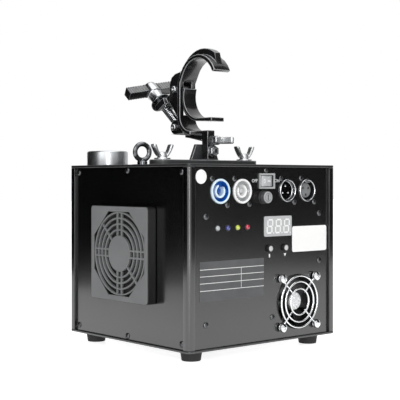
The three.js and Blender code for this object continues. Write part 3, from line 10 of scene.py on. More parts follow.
import bmesh
import bpy
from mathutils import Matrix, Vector


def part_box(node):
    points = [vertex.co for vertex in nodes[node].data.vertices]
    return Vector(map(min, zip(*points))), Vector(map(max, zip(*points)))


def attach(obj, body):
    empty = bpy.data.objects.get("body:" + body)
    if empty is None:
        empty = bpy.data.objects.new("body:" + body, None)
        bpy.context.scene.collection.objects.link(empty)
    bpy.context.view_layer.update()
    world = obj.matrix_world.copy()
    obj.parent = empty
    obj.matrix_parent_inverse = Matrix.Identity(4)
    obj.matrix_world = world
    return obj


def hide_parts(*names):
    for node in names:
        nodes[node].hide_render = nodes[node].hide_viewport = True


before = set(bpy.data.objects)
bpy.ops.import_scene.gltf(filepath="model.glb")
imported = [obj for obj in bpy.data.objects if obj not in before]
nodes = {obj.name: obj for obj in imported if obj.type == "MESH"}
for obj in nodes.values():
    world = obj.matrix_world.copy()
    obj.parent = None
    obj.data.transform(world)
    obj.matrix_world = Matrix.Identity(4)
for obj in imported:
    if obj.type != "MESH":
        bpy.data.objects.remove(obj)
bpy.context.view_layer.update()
MM = 0.001

# %% [markdown]
# ## Camera
# The photograph was taken with a long lens held level, a little below the lid, and its frame was
# shifted down. A level camera keeps the case's uprights parallel, so the shift does the framing.

# %% Camera
CAMERA_PLACE = (-0.7182, -0.8306, 0.1754)
CAMERA_HEADING = math.radians(-40.85)
CAMERA_LENS = 91.8
CAMERA_DROP = -0.0518

bpy.ops.object.camera_add(location=CAMERA_PLACE, rotation=(math.pi / 2, 0, CAMERA_HEADING))
camera = bpy.context.object
camera.data.lens = CAMERA_LENS
camera.data.sensor_width = 36.0
camera.data.shift_y = CAMERA_DROP
camera.data.clip_end = 30.0
bpy.context.scene.camera = camera
print("camera", tuple(camera.location))

# %% [markdown]
# ## Colours and nodes
# A colour is written as it looks on a screen and turned to linear light by one function. One more
# function adds a shader node with its settings and links, so each finish reads as a short list.

# %% Colours and nodes


def linear(code):
    """A screen colour such as #1b1b1c as linear light."""
    parts = [int(code[i : i + 2], 16) / 255 for i in (1, 3, 5)]
    light = [c / 12.92 if c <= 0.04045 else ((c + 0.055) / 1.055) ** 2.4 for c in parts]
    return (*light, 1.0)


def add(tree, kind, values=None, links=None):
    """Adds a node, sets its sockets or settings by name, and links its sockets."""
    made = tree.nodes.new(kind)
    for name, value in (values or {}).items():
        if name in made.inputs:
            made.inputs[name].default_value = value
        else:
            setattr(made, name, value)
    for name, source in (links or {}).items():
        tree.links.new(source, made.inputs[name])
    return made


def scale_of(size):
    """A pattern's scale for a feature of that size in millimetres."""
    return 1 / (size * MM)


print("the paint's dark tone in linear light", linear("#040405"))

# %% [markdown]
# ## One recipe for a finish
# No real surface has one even tone. Each finish here has two close tones that change in soft
# clouds, the same clouds make it a little rougher or smoother, and a fine grain gives it a skin.
# The patterns read Object coordinates, so their sizes are real millimetres on every piece. A real
# moulded or painted skin is finer than the picture can show, so its grain is drawn coarser, at 0.5
# to 2.2 mm.

# %% Recipe for a finish
CLOUD_EDGES = (0.3, 0.7)


def finish(name, dark, light, rough, cloud, grain=0.8, depth=0.006, **shader_values):
    """Two close tones in clouds of that size in mm, with a grain of that size and depth in mm."""
    material = bpy.data.materials.new(name)
    material.use_nodes = True
    tree = material.node_tree
    shader = tree.nodes["Principled BSDF"]
    for key, value in shader_values.items():
        label = key.replace("_", " ").title().replace("Ior", "IOR")
        shader.inputs[label].default_value = value
    place = add(tree, "ShaderNodeTexCoord").outputs["Object"]
    clouds = add(
        tree, "ShaderNodeTexNoise", {"Scale": scale_of(cloud), "Detail": 4.0}, {"Vector": place}
    ).outputs["Fac"]
    tone = add(tree, "ShaderNodeValToRGB", links={"Fac": clouds})
    for stop, edge, code in zip(tone.color_ramp.elements, CLOUD_EDGES, (dark, light)):
        stop.position = edge
        stop.color = linear(code)
    tree.links.new(tone.outputs["Color"], shader.inputs["Base Color"])
    rub = add(
        tree, "ShaderNodeMapRange", {"To Min": rough[0], "To Max": rough[1]}, {"Value": clouds}
    )
    tree.links.new(rub.outputs["Result"], shader.inputs["Roughness"])
    grit = add(
        tree, "ShaderNodeTexNoise", {"Scale": scale_of(grain), "Detail": 2.0}, {"Vector": place}
    ).outputs["Fac"]
    bump = add(tree, "ShaderNodeBump", {"Distance": depth * MM}, {"Height": grit})
    tree.links.new(bump.outputs["Normal"], shader.inputs["Normal"])
    print("finish", name)
    return material


# %% [markdown]
# ## Paints
# Each finish is named for what the real surface is, or for the light that is painted into it. The
# case is sheet steel with a smooth black powder coat that mirrors the studio softly. The clamp is
# cast aluminium under a black enamel, and its strip and foot wear a duller one. On both, the
# rounded edges get a grey painted highlight.

# %% Paints
# Powder coat: its orange-peel skin is drawn at 0.9 mm, so that it shows in the picture.
powder_coat = finish(
    "powder_coated_steel", "#040405", "#070708", (0.2, 0.26), 60, 0.9, 0.004,
    specular_ior_level=0.9, coat_weight=0.5, coat_roughness=0.12,
)
# The same coat on top of the case, where fine dust and handling have dulled it.
dusty_coat = finish("powder_coat_dulled_by_dust", "#0e0e0f", "#151516", (0.42, 0.52), 45, 0.9)
# Enamel on a casting: shiny, with a slow waviness that the mould left.
cast_enamel = finish(
    "enamelled_cast_aluminium", "#121213", "#1a1a1c", (0.2, 0.3), 25, 2.2, 0.03, coat_weight=0.4
)
# The strip and the foot under the clamp wear a duller enamel, which looks dark grey in the light.
satin_enamel = finish("satin_enamelled_steel", "#2b2c2d", "#38393a", (0.38, 0.48), 25, 1.2, 0.01)
# Painted highlight: the clamp's rounded edges get a grey, shiny tone for the light that they catch.
edge_highlight_enamel = finish(
    "enamel_with_painted_edge_highlight", "#77787a", "#9a9b9d", (0.25, 0.35), 8, metallic=0.3
)
# The same painted highlight on the case's rounded edges, in a darker grey.
edge_highlight_coat = finish(
    "powder_coat_with_painted_edge_highlight", "#38393b", "#4e4f51", (0.28, 0.36), 14, metallic=0.3
)

# %% [markdown]
# ## Rubber and plastics
# The feet are rubber, dull and a little dusty. The filter guard, fans, sockets, switch and buttons
# are moulded plastics: nylon and polycarbonate come out of a polished mould nearly smooth, and only
# the filter guard's front has a skin rough enough to scatter light.

# %% Rubber and plastics
# Moulded rubber: dull and a little dusty, so it takes no clear highlight.
rubber = finish("moulded_rubber", "#1e1e1f", "#2a2a2b", (0.62, 0.75), 9, 0.7, 0.02)
# ABS with a spark-eroded skin, on the guard's face. Its grey is partly its own and partly painted
# light, for the light that falls on the face from the left.
guard_face_painted_light = finish("textured_abs_painted_light", "#707172", "#78797a", (0.5, 0.6), 30, 0.8, 0.02)
# Glass-filled nylon: a soft, slightly cloudy black, because glass fibres reach the skin.
black_nylon = finish("black_glass_filled_nylon", "#171718", "#1f1f20", (0.4, 0.5), 12, 0.6, 0.01)
# PBT from a polished mould, toned lighter than its real black as a painted sheen, so that the
# blades look lighter than the frame round them.
blade_plastic_painted_sheen = finish("black_pbt_painted_lighter", "#2c2c2e", "#3a3a3c", (0.22, 0.32), 10, 1.5, 0.008)
# Dyed nylon from a polished mould: clear colours under a soft highlight.
blue_nylon = finish("blue_nylon", "#0d4da2", "#1b6cc4", (0.25, 0.33), 8)
sky_nylon = finish("pale_blue_nylon", "#d6ecfa", "#e2f3fd", (0.28, 0.36), 8)
white_nylon = finish("white_nylon", "#f0f0f0", "#f8f8f8", (0.3, 0.38), 8)
# The outlet is white nylon all through; the grey of its bore, guide and lugs is painted shade.
outlet_inside_painted_shade = finish("white_nylon_painted_shade", "#c2c4c5", "#d4d6d7", (0.3, 0.38), 7)
grey_nylon = finish("grey_nylon", "#747677", "#808283", (0.32, 0.4), 6, 0.7)
# Acetal: pale and waxy.
pale_cap = finish("pale_grey_acetal", "#c4c5c6", "#d2d3d4", (0.3, 0.38), 4)
# Polycarbonate: the rocker is the paler one, so that it stands out from its bezel.
switch_grey = finish("grey_polycarbonate", "#a3a5a6", "#aeb0b1", (0.28, 0.36), 6, 0.7)
rocker_grey = finish("pale_grey_polycarbonate", "#bcbebf", "#c9cbcc", (0.25, 0.33), 6, 0.7)
# Phenolic, moulded hard: a dark grey that lets the grips throw small shadows.
fuse_grey = finish("dark_grey_phenolic", "#4a4b4d", "#5c5d5f", (0.3, 0.4), 4)
# Pad-printed ink: flat white.
mark_white = finish("white_pad_print", "#f4f4f4", "#fbfbfb", (0.35, 0.45), 5, 0.5, 0.004)
# ABS from a polished mould, on the guard's sides: a satin black that is painted shade, darker than
# the plastic's own grey.
guard_sides_painted_shade = finish("smooth_abs_painted_shade", "#0d0d0e", "#121213", (0.28, 0.36), 20, 1.0)

# %% [markdown]
# ## Metals
# Chrome is nearly a mirror, and zinc plate is soft and a little cloudy. The screws are steel with a
# black oxide skin, which still glints. The nozzle is turned from stainless steel, so its tool marks
# run round it as fine rings stacked along its height, and they draw a highlight out into upright
# bands. The wave texture makes those rings, because it repeats at an even distance.

# %% Metal finishes
# Chrome on polished wire: nearly a mirror, so it shows the studio in hard white and black.
chrome = finish("bright_chrome", "#d8dadc", "#eceeef", (0.06, 0.12), 10, 1.2, 0.003, metallic=1.0)
# Zinc plate from a barrel: pale grey and soft, with clouds that the bath leaves.
zinc = finish("bright_zinc_plate", "#bcbec0", "#d6d8d9", (0.32, 0.44), 6, 0.9, 0.01, metallic=1.0)
# Black nickel plate: dark, and nearly as shiny as chrome.
dark_plate = finish(
    "black_nickel_plate", "#5c5e60", "#7d7f81", (0.14, 0.22), 6, 1.0, 0.004, metallic=1.0
)
# Black oxide on steel: dark grey, with a glint on each edge.
black_oxide = finish("black_oxide_steel", "#4c4d4f", "#68696b", (0.25, 0.35), 3, metallic=1.0)
# Nickel on die-cast zinc: greyer and softer than chrome.
nickel = finish("nickel_plated_zinc", "#9b9d9f", "#bcbec0", (0.2, 0.3), 7, 0.8, 0.008, metallic=1.0)
# Rolled aluminium as it leaves the mill: dull and pale.
aluminium = finish("mill_aluminium", "#a5a7a9", "#b7b9bb", (0.3, 0.42), 15, 0.8, 0.01, metallic=1.0)

# %% Turned steel
# A wave texture whose scale is 1 has its rings 0.314 m apart. Real tool marks are about 0.1 mm
# apart, and are drawn at 0.5 mm so that they show.
WAVE_STEP = 0.314
TOOL_MARK = 0.5


def turned_steel(name, centre, ring):
    """Stainless steel with tool marks round an upright axis through centre, one every ring mm."""
    material = finish(name, "#a3a5a7", "#bcbec0", (0.24, 0.34), 30, 1.5, 0.004, metallic=1.0)
    tree = material.node_tree
    shader = tree.nodes["Principled BSDF"]
    place = add(tree, "ShaderNodeTexCoord").outputs["Object"]
    on_axis = (-centre[0], -centre[1], 0)
    moved = add(tree, "ShaderNodeMapping", {"Location": on_axis}, {"Vector": place})
    rings = {
        "bands_direction": "Z", "Scale": WAVE_STEP * scale_of(ring), "Distortion": 0.4,
        "Detail": 2.0,
    }
    where = {"Vector": moved.outputs["Vector"]}
    marks = add(tree, "ShaderNodeTexWave", rings, where).outputs["Fac"]
    bump = add(tree, "ShaderNodeBump", {"Distance": 0.004 * MM}, {"Height": marks})
    tree.links.new(bump.outputs["Normal"], shader.inputs["Normal"])
    shader.inputs["Anisotropic"].default_value = 0.55
    return material


nozzle_low, nozzle_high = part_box("nozzle")
nozzle_axis = (nozzle_low + nozzle_high) / 2
stainless = turned_steel("turned_stainless_steel", nozzle_axis, TOOL_MARK)

# %% [markdown]
# ## Lamps, labels and boards
# The indicator lamps are cast epoxy: clear or tinted, smooth and wet-looking. Labels are smooth
# foil or paper with a faint fibre. The control board wears green solder mask, and the filter foam
# is open-celled, so its surface is all small pits.

# %% Small finishes
# Cast epoxy: a clear, wet skin over a tint. Unlit, a lamp shows only that tint.
LENS_ROUGH = (0.05, 0.1)
EPOXY_TONES = [
    ("clear_epoxy", "#9fa3a6", "#b8bcbf"), ("blue_epoxy", "#232a72", "#38429c"),
    ("lime_epoxy", "#b6c23c", "#cdd851"), ("red_epoxy", "#a81e38", "#c42d48"),
]
clear_epoxy, blue_epoxy, lime_epoxy, red_epoxy = [
    finish(name, dark, light, LENS_ROUGH, 4, 1.5, 0.004, coat_weight=1.0)
    for name, dark, light in EPOXY_TONES
]
# A frosted window scatters light and looks pale grey; its segments are moulded white.
display_face = finish("frosted_display_window", "#b8babb", "#c2c4c5", (0.28, 0.36), 8, 0.7, 0.004)
digit_white = finish("moulded_white_segments", "#eff0f0", "#f8f8f8", (0.3, 0.4), 3, 0.7, 0.003)
# Coated paper is almost pure white, and foil printed grey is satin.
label_paper = finish("coated_label_paper", "#f9f9f8", "#fdfdfc", (0.4, 0.5), 9, 0.5)
plate_foil = finish("grey_label_foil", "#4d4e50", "#575859", (0.35, 0.45), 14, 0.6)
# Screen-printed ink: matt white, and thick enough to feel.
screen_print = finish("white_screen_print", "#e6e7e7", "#f2f3f3", (0.5, 0.6), 5, 0.5, 0.004)
# Silver foil: bright and a little crumpled, so it flashes in patches.
hub_foil = finish(
    "silver_label_foil", "#dcdddf", "#f0f1f2", (0.2, 0.34), 3, 1.0, 0.02, metallic=0.4
)
# Solder mask: a glossy green skin over copper tracks.
solder_mask = finish("green_solder_mask", "#1d4b2d", "#2a5f3a", (0.3, 0.4), 6, 1.1, 0.03)
# Open-cell foam: all small pits, so it stays black. They are drawn 1.3 mm wide.
foam = finish("open_cell_foam", "#0c0c0c", "#1c1c1c", (0.9, 1.0), 5, 1.3, 0.5)

# %% [markdown]
# ## Shaping tools
# An operator acts on whatever is selected, so every tool first selects exactly one piece. A piece
# is made flat at the origin, where its sizes are easy to read, then turned and moved to its place,
# and the place is put in its mesh.

# %% Selecting


def clear_selection():
    """Leaves edit mode and deselects everything."""
    if bpy.context.object and bpy.context.object.mode != "OBJECT":
        bpy.ops.object.mode_set(mode="OBJECT")
    bpy.ops.object.select_all(action="DESELECT")


def only(piece):
    """Makes a piece the one that is selected and active."""
    clear_selection()
    piece.select_set(True)
    bpy.context.view_layer.objects.active = piece


def edit(piece):
    """Opens a piece in edit mode with all of it selected."""
    only(piece)
    bpy.ops.object.mode_set(mode="EDIT")
    bpy.ops.mesh.select_all(action="SELECT")


def pick(test):
    """In the piece being edited, selects the faces whose middle and direction pass the test."""
    bpy.ops.mesh.select_mode(type="FACE")
    bpy.ops.mesh.select_all(action="DESELECT")
    mesh = bmesh.from_edit_mesh(bpy.context.object.data)
    for face in mesh.faces:
        if test(face.calc_center_median() / MM, face.normal):
            face.select_set(True)
    bmesh.update_edit_mesh(bpy.context.object.data)


clear_selection()
print("still selected:", len(bpy.context.selected_objects))

# %% Smoothing and placing
SMOOTH_ANGLE = math.radians(32)
WELD = 0.001 * MM


def tidy(piece):
    """Merges doubles, turns all faces outwards and smooths the shallow edges."""
    edit(piece)
    bpy.ops.mesh.remove_doubles(threshold=WELD)
    bpy.ops.mesh.normals_make_consistent(inside=False)
    only(piece)
    bpy.ops.object.shade_smooth_by_angle(angle=SMOOTH_ANGLE)
    return piece


def settle(piece, at=(0, 0, 0), turn=(0, 0, 0)):
    """Turns a piece, moves it to a place in millimetres, and puts that place in its mesh."""
    only(piece)
    piece.rotation_euler = turn
    piece.location = Vector(at) * MM
    bpy.ops.object.transform_apply(location=True, rotation=True, scale=True)
    return piece


def spin(piece, angle):
    """Turns a piece about the upright axis."""
    return settle(piece, turn=(0, 0, angle))


print("edges under", round(math.degrees(SMOOTH_ANGLE)), "degrees are shaded smooth")

# %% [markdown]
# ## Round and flat-sided pieces
# A round piece starts as a circle that is extruded and resized ring by ring, which is turning on a
# lathe done by hand. A flat-sided piece starts as a cube. The bevel modifier then rounds the edges,
# because only a rounded edge catches a line of light, as every real edge does.

# %% Turning and bevelling
BEVEL_ANGLE = 35


def bevel(piece, width, segments=2, angle=BEVEL_ANGLE, mark=-1):
    """Rounds every edge sharper than the angle; mark is the material slot of the new faces."""
    only(piece)
    step = piece.modifiers.new("edges", "BEVEL")
    step.width = width * MM
    step.segments = segments
    step.limit_method = "ANGLE"
    step.angle_limit = math.radians(angle)
    step.use_clamp_overlap = False
    step.material = mark
    bpy.ops.object.modifier_apply(modifier=step.name)
    return piece


def turned(name, profile, sides=48):
    """A round piece about Z from (radius, height) pairs in mm; a closed profile makes a ring."""
    clear_selection()
    radius, height = profile[0]
    bpy.ops.mesh.primitive_circle_add(vertices=sides, radius=radius * MM)
    piece = bpy.context.object
    piece.name = name
    edit(piece)
    bpy.ops.mesh.select_mode(type="EDGE")
    bpy.ops.mesh.select_all(action="SELECT")
    bpy.ops.transform.translate(value=(0, 0, height * MM))
    for next_radius, next_height in profile[1:]:
        lift = (0, 0, (next_height - height) * MM)
        bpy.ops.mesh.extrude_region_move(TRANSFORM_OT_translate={"value": lift})
        grow = next_radius / radius
        centre = (0, 0, next_height * MM)
        bpy.ops.transform.resize(value=(grow, grow, 1), center_override=centre)
        radius, height = next_radius, next_height
    bpy.ops.mesh.select_all(action="SELECT")
    bpy.ops.mesh.remove_doubles(threshold=WELD)
    if profile[0] != profile[-1]:
        bpy.ops.mesh.fill_holes(sides=0)
    return tidy(piece)


print("a turned piece has 48 sides, unless it says otherwise")

# %% Blocks and plates
CORNER_STEPS = 6


def block(name, size, at=(0, 0, 0), round_edge=0.3, segments=2):
    """A block of that size about a place, with all its edges rounded."""
    clear_selection()
    bpy.ops.mesh.primitive_cube_add(size=1, scale=[side * MM for side in size])
    piece = bpy.context.object
    piece.name = name
    settle(piece, at)
    return tidy(bevel(piece, round_edge, segments))


def plate(name, width, tall, thick, corner, at=(0, 0, 0)):
    """A flat plate standing on Z zero, its upright edges rounded to corner."""
    clear_selection()
    bpy.ops.mesh.primitive_cube_add(size=1, scale=(width * MM, tall * MM, thick * MM))
    piece = bpy.context.object
    piece.name = name
    settle(piece, (0, 0, thick / 2))
    edit(piece)
    bpy.ops.mesh.select_mode(type="EDGE")
    bpy.ops.mesh.select_all(action="DESELECT")
    mesh = bmesh.from_edit_mesh(piece.data)
    for edge in mesh.edges:
        ends = edge.verts[0].co - edge.verts[1].co
        edge.select_set(abs(ends.z) > thick * MM / 2)
    bmesh.update_edit_mesh(piece.data)
    bpy.ops.mesh.bevel(offset=corner * MM, segments=CORNER_STEPS, affect="EDGES")
    tidy(piece)
    return settle(piece, at)


print("a plate's corner has", CORNER_STEPS, "steps")

# %% [markdown]
# ## Cutting, copying and finishing
# A hole is cut by a solid of its shape with the boolean modifier. What repeats is modelled once
# and copied, each copy with its own mesh. A node whose outline is right but too sharp is copied
# too: its loose triangles are merged and its edges rounded, and the new faces can wear a finish of
# their own.

# %% Cutting and copying


def carve(piece, *tools):
    """Cuts the tools out of a piece and throws them away."""
    for tool in tools:
        only(piece)
        step = piece.modifiers.new("carve", "BOOLEAN")
        step.operation = "DIFFERENCE"
        step.solver = "EXACT"
        step.object = tool
        bpy.ops.object.modifier_apply(modifier=step.name)
        bpy.data.objects.remove(tool)
    return piece


def joined(name, *pieces):
    """Several meshes as one piece."""
    clear_selection()
    for one in pieces:
        one.select_set(True)
    bpy.context.view_layer.objects.active = pieces[0]
    bpy.ops.object.join()
    whole = bpy.context.object
    whole.name = name
    return whole


def another(piece, name):
    """A copy with a mesh of its own."""
    copy = bpy.data.objects.new(name, piece.data.copy())
    bpy.context.scene.collection.objects.link(copy)
    return copy


# %% Rounded copies of nodes
FLAT_ANGLE = math.radians(0.5)


def rounded(node, width, segments=3, name=None):
    """A copy of a node with its triangles merged and its edges rounded."""
    copy = another(nodes[node], name or node + "_rounded")
    edit(copy)
    bpy.ops.mesh.customdata_custom_splitnormals_clear()
    bpy.ops.mesh.remove_doubles(threshold=WELD)
    bpy.ops.mesh.dissolve_limited(angle_limit=FLAT_ANGLE)
    # The bevel can give its new faces slot 1 only where the mesh has two slots. The finishes that
    # stay are put in when the piece is fitted.
    # Until then, both slots hold the finish with the painted edge highlight.
    copy.data.materials.clear()
    for _ in range(2):
        copy.data.materials.append(edge_highlight_coat)
    bevel(copy, width, segments, mark=1)
    only(copy)
    bpy.ops.object.shade_smooth_by_angle(angle=SMOOTH_ANGLE)
    return copy


print("triangles flatter than", round(math.degrees(FLAT_ANGLE), 1), "degrees are merged")

# %% Finishing a piece


def wear(piece, material):
    """Gives a piece one finish all over."""
    piece.data.materials.clear()
    piece.data.materials.append(material)
    return piece


def fit(piece, body, material, slot, *replaced, edges=None):
    """Finishes a piece: its material, the body that it rides on, what it stands for; slot is not
    used.
    """
    # edges is the finish with the painted highlight, for the faces that the bevel rounded.
    marks = [face.material_index if edges else 0 for face in piece.data.polygons]
    wear(piece, material)
    if edges:
        piece.data.materials.append(edges)
    piece.data.polygons.foreach_set("material_index", marks)
    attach(piece, body)
    if replaced:
        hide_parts(*replaced)
    print(piece.name, len(piece.data.polygons), "faces on", body)
    return piece


print("finishes ready", len(bpy.data.materials))

# %% [markdown]
# ## Nodes that keep their shape
# These are right as they are, or sit inside where only a fan's blades let them be seen. They get
# their real finish through their material slots, and their meshes are left alone.

# %% Finishes of the nodes
KEPT = {
    powder_coat: ["right_panel", "rear_panel"],
    black_nylon: ["blower_housing", "blower_impeller"],
    aluminium: ["hopper", "gear_motor", "power_supply"],
    stainless: ["heater_tube", "feed_auger"],
    foam: ["filter_foam"],
    solder_mask: ["control_board"],
}
for material, names in KEPT.items():
    for name in names:
        wear(nodes[name], material)
print("finished", sum(len(names) for names in KEPT.values()), "nodes")

# %% [markdown]
# ## The case
# Folded sheet steel has edges rounded by the press, and the coat makes them rounder. That thin
# rounded line catches the light down each corner of the real case, so the sheets and posts are
# copied with every edge rounded, and those rounded edges get a grey painted highlight.

# %% Case sheets
# The rounded edges of the lid, the base and the posts wear the painted edge highlight.
for name, coat in (("base_plate", powder_coat), ("lid", dusty_coat)):
    fit(rounded(name, 0.6), "case", coat, "case_paint", name, edges=edge_highlight_coat)
# A post's rounded ends would leave a slit at the lid and the base, so both ends grow into them.
POST_REACH = 0.3
POST_MIDDLE, POST_HALF = 100, 80
for name in ("post_front_left", "post_front_right", "post_rear_right", "post_rear_left"):
    post = rounded(name, 0.5)
    edit(post)
    for way in (1, -1):
        pick(lambda middle, out: out.z * way > 0.9 and (middle.z - POST_MIDDLE) * way > POST_HALF)
        bpy.ops.transform.translate(value=(0, 0, way * POST_REACH * MM))
    fit(post, "case", powder_coat, "case_paint", name, edges=edge_highlight_coat)

# %% [markdown]
# ## Feet and filler cap
# The feet are moulded rubber, a little narrower at the floor, with a rounded tread edge. The flush
# cap over the granule hopper has two finger dents to turn it by. All are round, so they are turned
# at the places of their nodes, and the dents are cut by two short rods.

# %% Feet
FOOT = [(8.4, 0.6), (8.4, 0), (9.1, 0), (9.5, 0.4), (9.6, 1.2), (10.9, 9.6), (10.9, 10), (0.05, 10)]
for name in ("foot_front_left", "foot_front_right", "foot_rear_right", "foot_rear_left"):
    low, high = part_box(name)
    middle = (low + high) / 2 / MM
    foot = settle(turned(name + "_moulded", FOOT), (middle.x, middle.y, 0))
    fit(foot, "case", rubber, "foot_rubber", name)

# %% Filler cap
FLANGE_UNDER = 1.5
DENT_DEEP = 0.75
DENT_OUT = 10
low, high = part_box("filler_cap")
middle, top = (low + high) / 2 / MM, high.z / MM
under = top - FLANGE_UNDER
cap_profile = [
    (13.6, top - 7.8), (15.4, top - 7.8), (15.4, under), (20, under), (20, top - 0.5), (19.5, top),
    (0.05, top),
]
cap = settle(turned("filler_cap_turned", cap_profile, 96), (middle.x, middle.y, 0))
for side in (-1, 1):
    dent = turned("dent", [(3.7, top - DENT_DEEP), (4, top + 1)], 32)
    carve(cap, settle(dent, (middle.x + side * DENT_OUT, middle.y, 0)))
fit(tidy(cap), "filler_cap", dusty_coat, "case_paint", "filler_cap")

# %% [markdown]
# ## Places on the four panels
# Each panel is dressed in its own flat coordinates, in millimetres from the lower left corner of
# the case, because that is how a panel is drawn. Four small functions turn such a place into one
# in the scene; the sides are measured from the case's front, and the rear from its left. A piece
# that was made flat is then stood up by one of four turns.

# %% Places on the panels
CASE_LEFT, CASE_FRONT, CASE_FOOT = -98.25, -97.33, 10.3
FRONT_FACE, REAR_FACE = -94.83, 100.17
FAN_SIDE_FACE, RIGHT_FACE = -95.75, 104.25


def on_front(across, up, out=0.0):
    """A place on the connector panel, or a little in front of it."""
    return (across + CASE_LEFT, FRONT_FACE - out, up + CASE_FOOT)


def on_fan_side(across, up):
    return (FAN_SIDE_FACE, across + CASE_FRONT, up + CASE_FOOT)


def on_right(across, up):
    return (RIGHT_FACE, across + CASE_FRONT, up + CASE_FOOT)


def on_rear(across, up):
    return (across + CASE_LEFT, REAR_FACE, up + CASE_FOOT)


print("lower left corner of the connector panel", on_front(0, 0))

# %% Standing a piece on a panel
ACROSS_FRONT = (math.pi / 2, 0, 0)
ACROSS_FAN_SIDE = (math.pi / 2, 0, -math.pi / 2)
ACROSS_RIGHT = (math.pi / 2, 0, math.pi / 2)
ACROSS_REAR = (math.pi / 2, 0, math.pi)


def stand(piece, place, turn, body, material, slot, *replaced):
    """Stands a piece made flat on Z zero up on a panel, and finishes it."""
    settle(piece, place, turn)
    return fit(piece, body, material, slot, *replaced)


def dress_front(piece, place, material, slot, *replaced):
    """Stands a piece on the connector panel, where it rides on the case."""
    return stand(piece, place, ACROSS_FRONT, "case", material, slot, *replaced)


print("the fan side faces", round(math.degrees(ACROSS_FAN_SIDE[2])), "degrees from the front")

# %% [markdown]
# ## Panel screws
# Pan-head screws with a cross recess hold the panels and sockets. Their black oxide still glints,
# so each one shows as a small broken ring of light. One is modelled, with its recess cut by two
# thin blocks, and copied to every hole, each copy turned a little further as a driver leaves them.

# %% Panel screws


def pan_head(name, radius, tall):
    """A screw head with a cross recess."""
    rim = (radius, tall * 0.35)
    crown = (radius * 0.84, tall * 0.72)
    top = (radius * 0.5, tall * 0.95)
    head = turned(name, [(radius, -0.4), rim, crown, top, (radius * 0.2, tall)], 24)
    for turn in (0, math.pi / 2):
        slot = block("slot", (radius * 1.15, radius * 0.26, tall), round_edge=0.02, segments=1)
        settle(slot, (0, 0, tall * 0.95), (0, 0, turn + 0.4))
        carve(head, slot)
    return tidy(head)


panel_screw = pan_head("panel_screw", 3.0, 1.5)
socket_screw = pan_head("socket_screw", 2.7, 1.3)
print("screw heads", panel_screw.dimensions / MM, socket_screw.dimensions / MM)

# %% Screws in their holes
DRIVER_TURN = 0.9
FRONT_SCREWS = [(23.7, 129.1), (182.9, 129.3), (182.9, 79.3), (23.7, 25.0), (113.4, 25.0)]
SOCKET_SCREWS = [
    (31.6, 165.7), (51.4, 139.7), (60.8, 165.7), (81.0, 140.4), (125.8, 165.9), (145.3, 141.4),
    (155.2, 166.1), (175.1, 141.4), (104.3, 174.0),
]
FAN_SIDE_SCREWS = [(186.2, 172.1), (99, 174.1), (13.1, 172.3), (185.8, 7.9), (99, 5.9), (13.1, 7.9)]
REAR_SCREWS = [(16, 172), (98, 174), (181, 172), (16, 8), (98, 6), (181, 8)]
rows = [
    ("front", panel_screw, FRONT_SCREWS, on_front, ACROSS_FRONT),
    ("socket", socket_screw, SOCKET_SCREWS, on_front, ACROSS_FRONT),
    ("fan_side", panel_screw, FAN_SIDE_SCREWS, on_fan_side, ACROSS_FAN_SIDE),
    ("right", panel_screw, FAN_SIDE_SCREWS, on_right, ACROSS_RIGHT),
    ("rear", panel_screw, REAR_SCREWS, on_rear, ACROSS_REAR),
]
for row, model, places, panel_place, turn in rows:
    for index, (across, up) in enumerate(places):
        screw = another(model, f"screw_{row}_{index + 1}")
        spin(screw, index * DRIVER_TURN)
        stand(screw, panel_place(across, up), turn, "case", black_oxide, "socket_metal")
for model in (panel_screw, socket_screw):
    bpy.data.objects.remove(model)

# %% [markdown]
# ## Power sockets
# The two locking mains sockets are nylon: blue for power in, white for power out. Each has a pale
# bezel, a deep bore, and inside it a sleeve that is open on one side. Bore and sleeve are turned,
# and blocks cut the sleeve's opening and the notch for the plug's key.

# %% Rings and cups
SOCKET_SIDES = 72


def bezel_ring(name, outer, inner, low, high, ease, sides=SOCKET_SIDES):
    """A ring with eased outer and inner edges."""
    outside = [(outer, low), (outer, high - ease), (outer - ease, high)]
    inside = [(inner + ease, high), (inner, high - ease), (inner, low)]
    return turned(name, [*outside, *inside, outside[0]], sides)


def cup(name, outer, inner, floor, top):
    """A round cup, open to the front."""
    profile = [(outer, floor - 1.5), (outer, top), (inner, top), (inner, floor), (0.05, floor)]
    return turned(name, profile, SOCKET_SIDES)


print("a socket's rings have", SOCKET_SIDES, "sides")

# %% Power sockets
INLET_AT, OUTLET_AT = (42.1, 153.4), (71.3, 153.3)
BEZEL = 12.2
BORE = 10.2
LUG_OUT = 9.3


def power_socket(name, node, place, ring_finish, bore_finish, slot, opening):
    """A locking mains socket, its sleeve turned by the opening's angle."""
    bezel = bezel_ring(name + "_bezel", BEZEL, BORE, -1.9, 1.8, 0.5)
    dress_front(bezel, place, ring_finish, slot, node)
    bore = cup(name + "_bore", BEZEL - 0.3, BORE - 0.1, -6, 0.9)
    carve(bore, block("key_notch", (5.2, 3.0, 9), (0, BORE, 0.2), 0.1, 1))
    dress_front(tidy(bore), place, bore_finish, slot)
    sleeve = bezel_ring(name + "_sleeve", 6.6, 4.5, -6.2, 0.8, 0.5, 48)
    carve(sleeve, block("sleeve_opening", (7.4, 12, 30), (0, 8, -4), 0.1, 1))
    dress_front(spin(tidy(sleeve), opening), place, ring_finish, slot)
    guide = block(name + "_guide", (3.4, 4.2, 5), (0, 0.6, -3.4), 0.5, 3)
    dress_front(guide, place, bore_finish, slot)
    for side, x in (("left", -LUG_OUT), ("right", LUG_OUT)):
        lug = block(f"{name}_lug_{side}", (2.2, 3.2, 6), (x, 0, -3.4), 0.4)
        dress_front(lug, place, bore_finish, slot)


inlet_place, outlet_place = on_front(*INLET_AT), on_front(*OUTLET_AT)
power_socket("inlet", "power_inlet", inlet_place, sky_nylon, blue_nylon, "inlet_blue", -0.25)
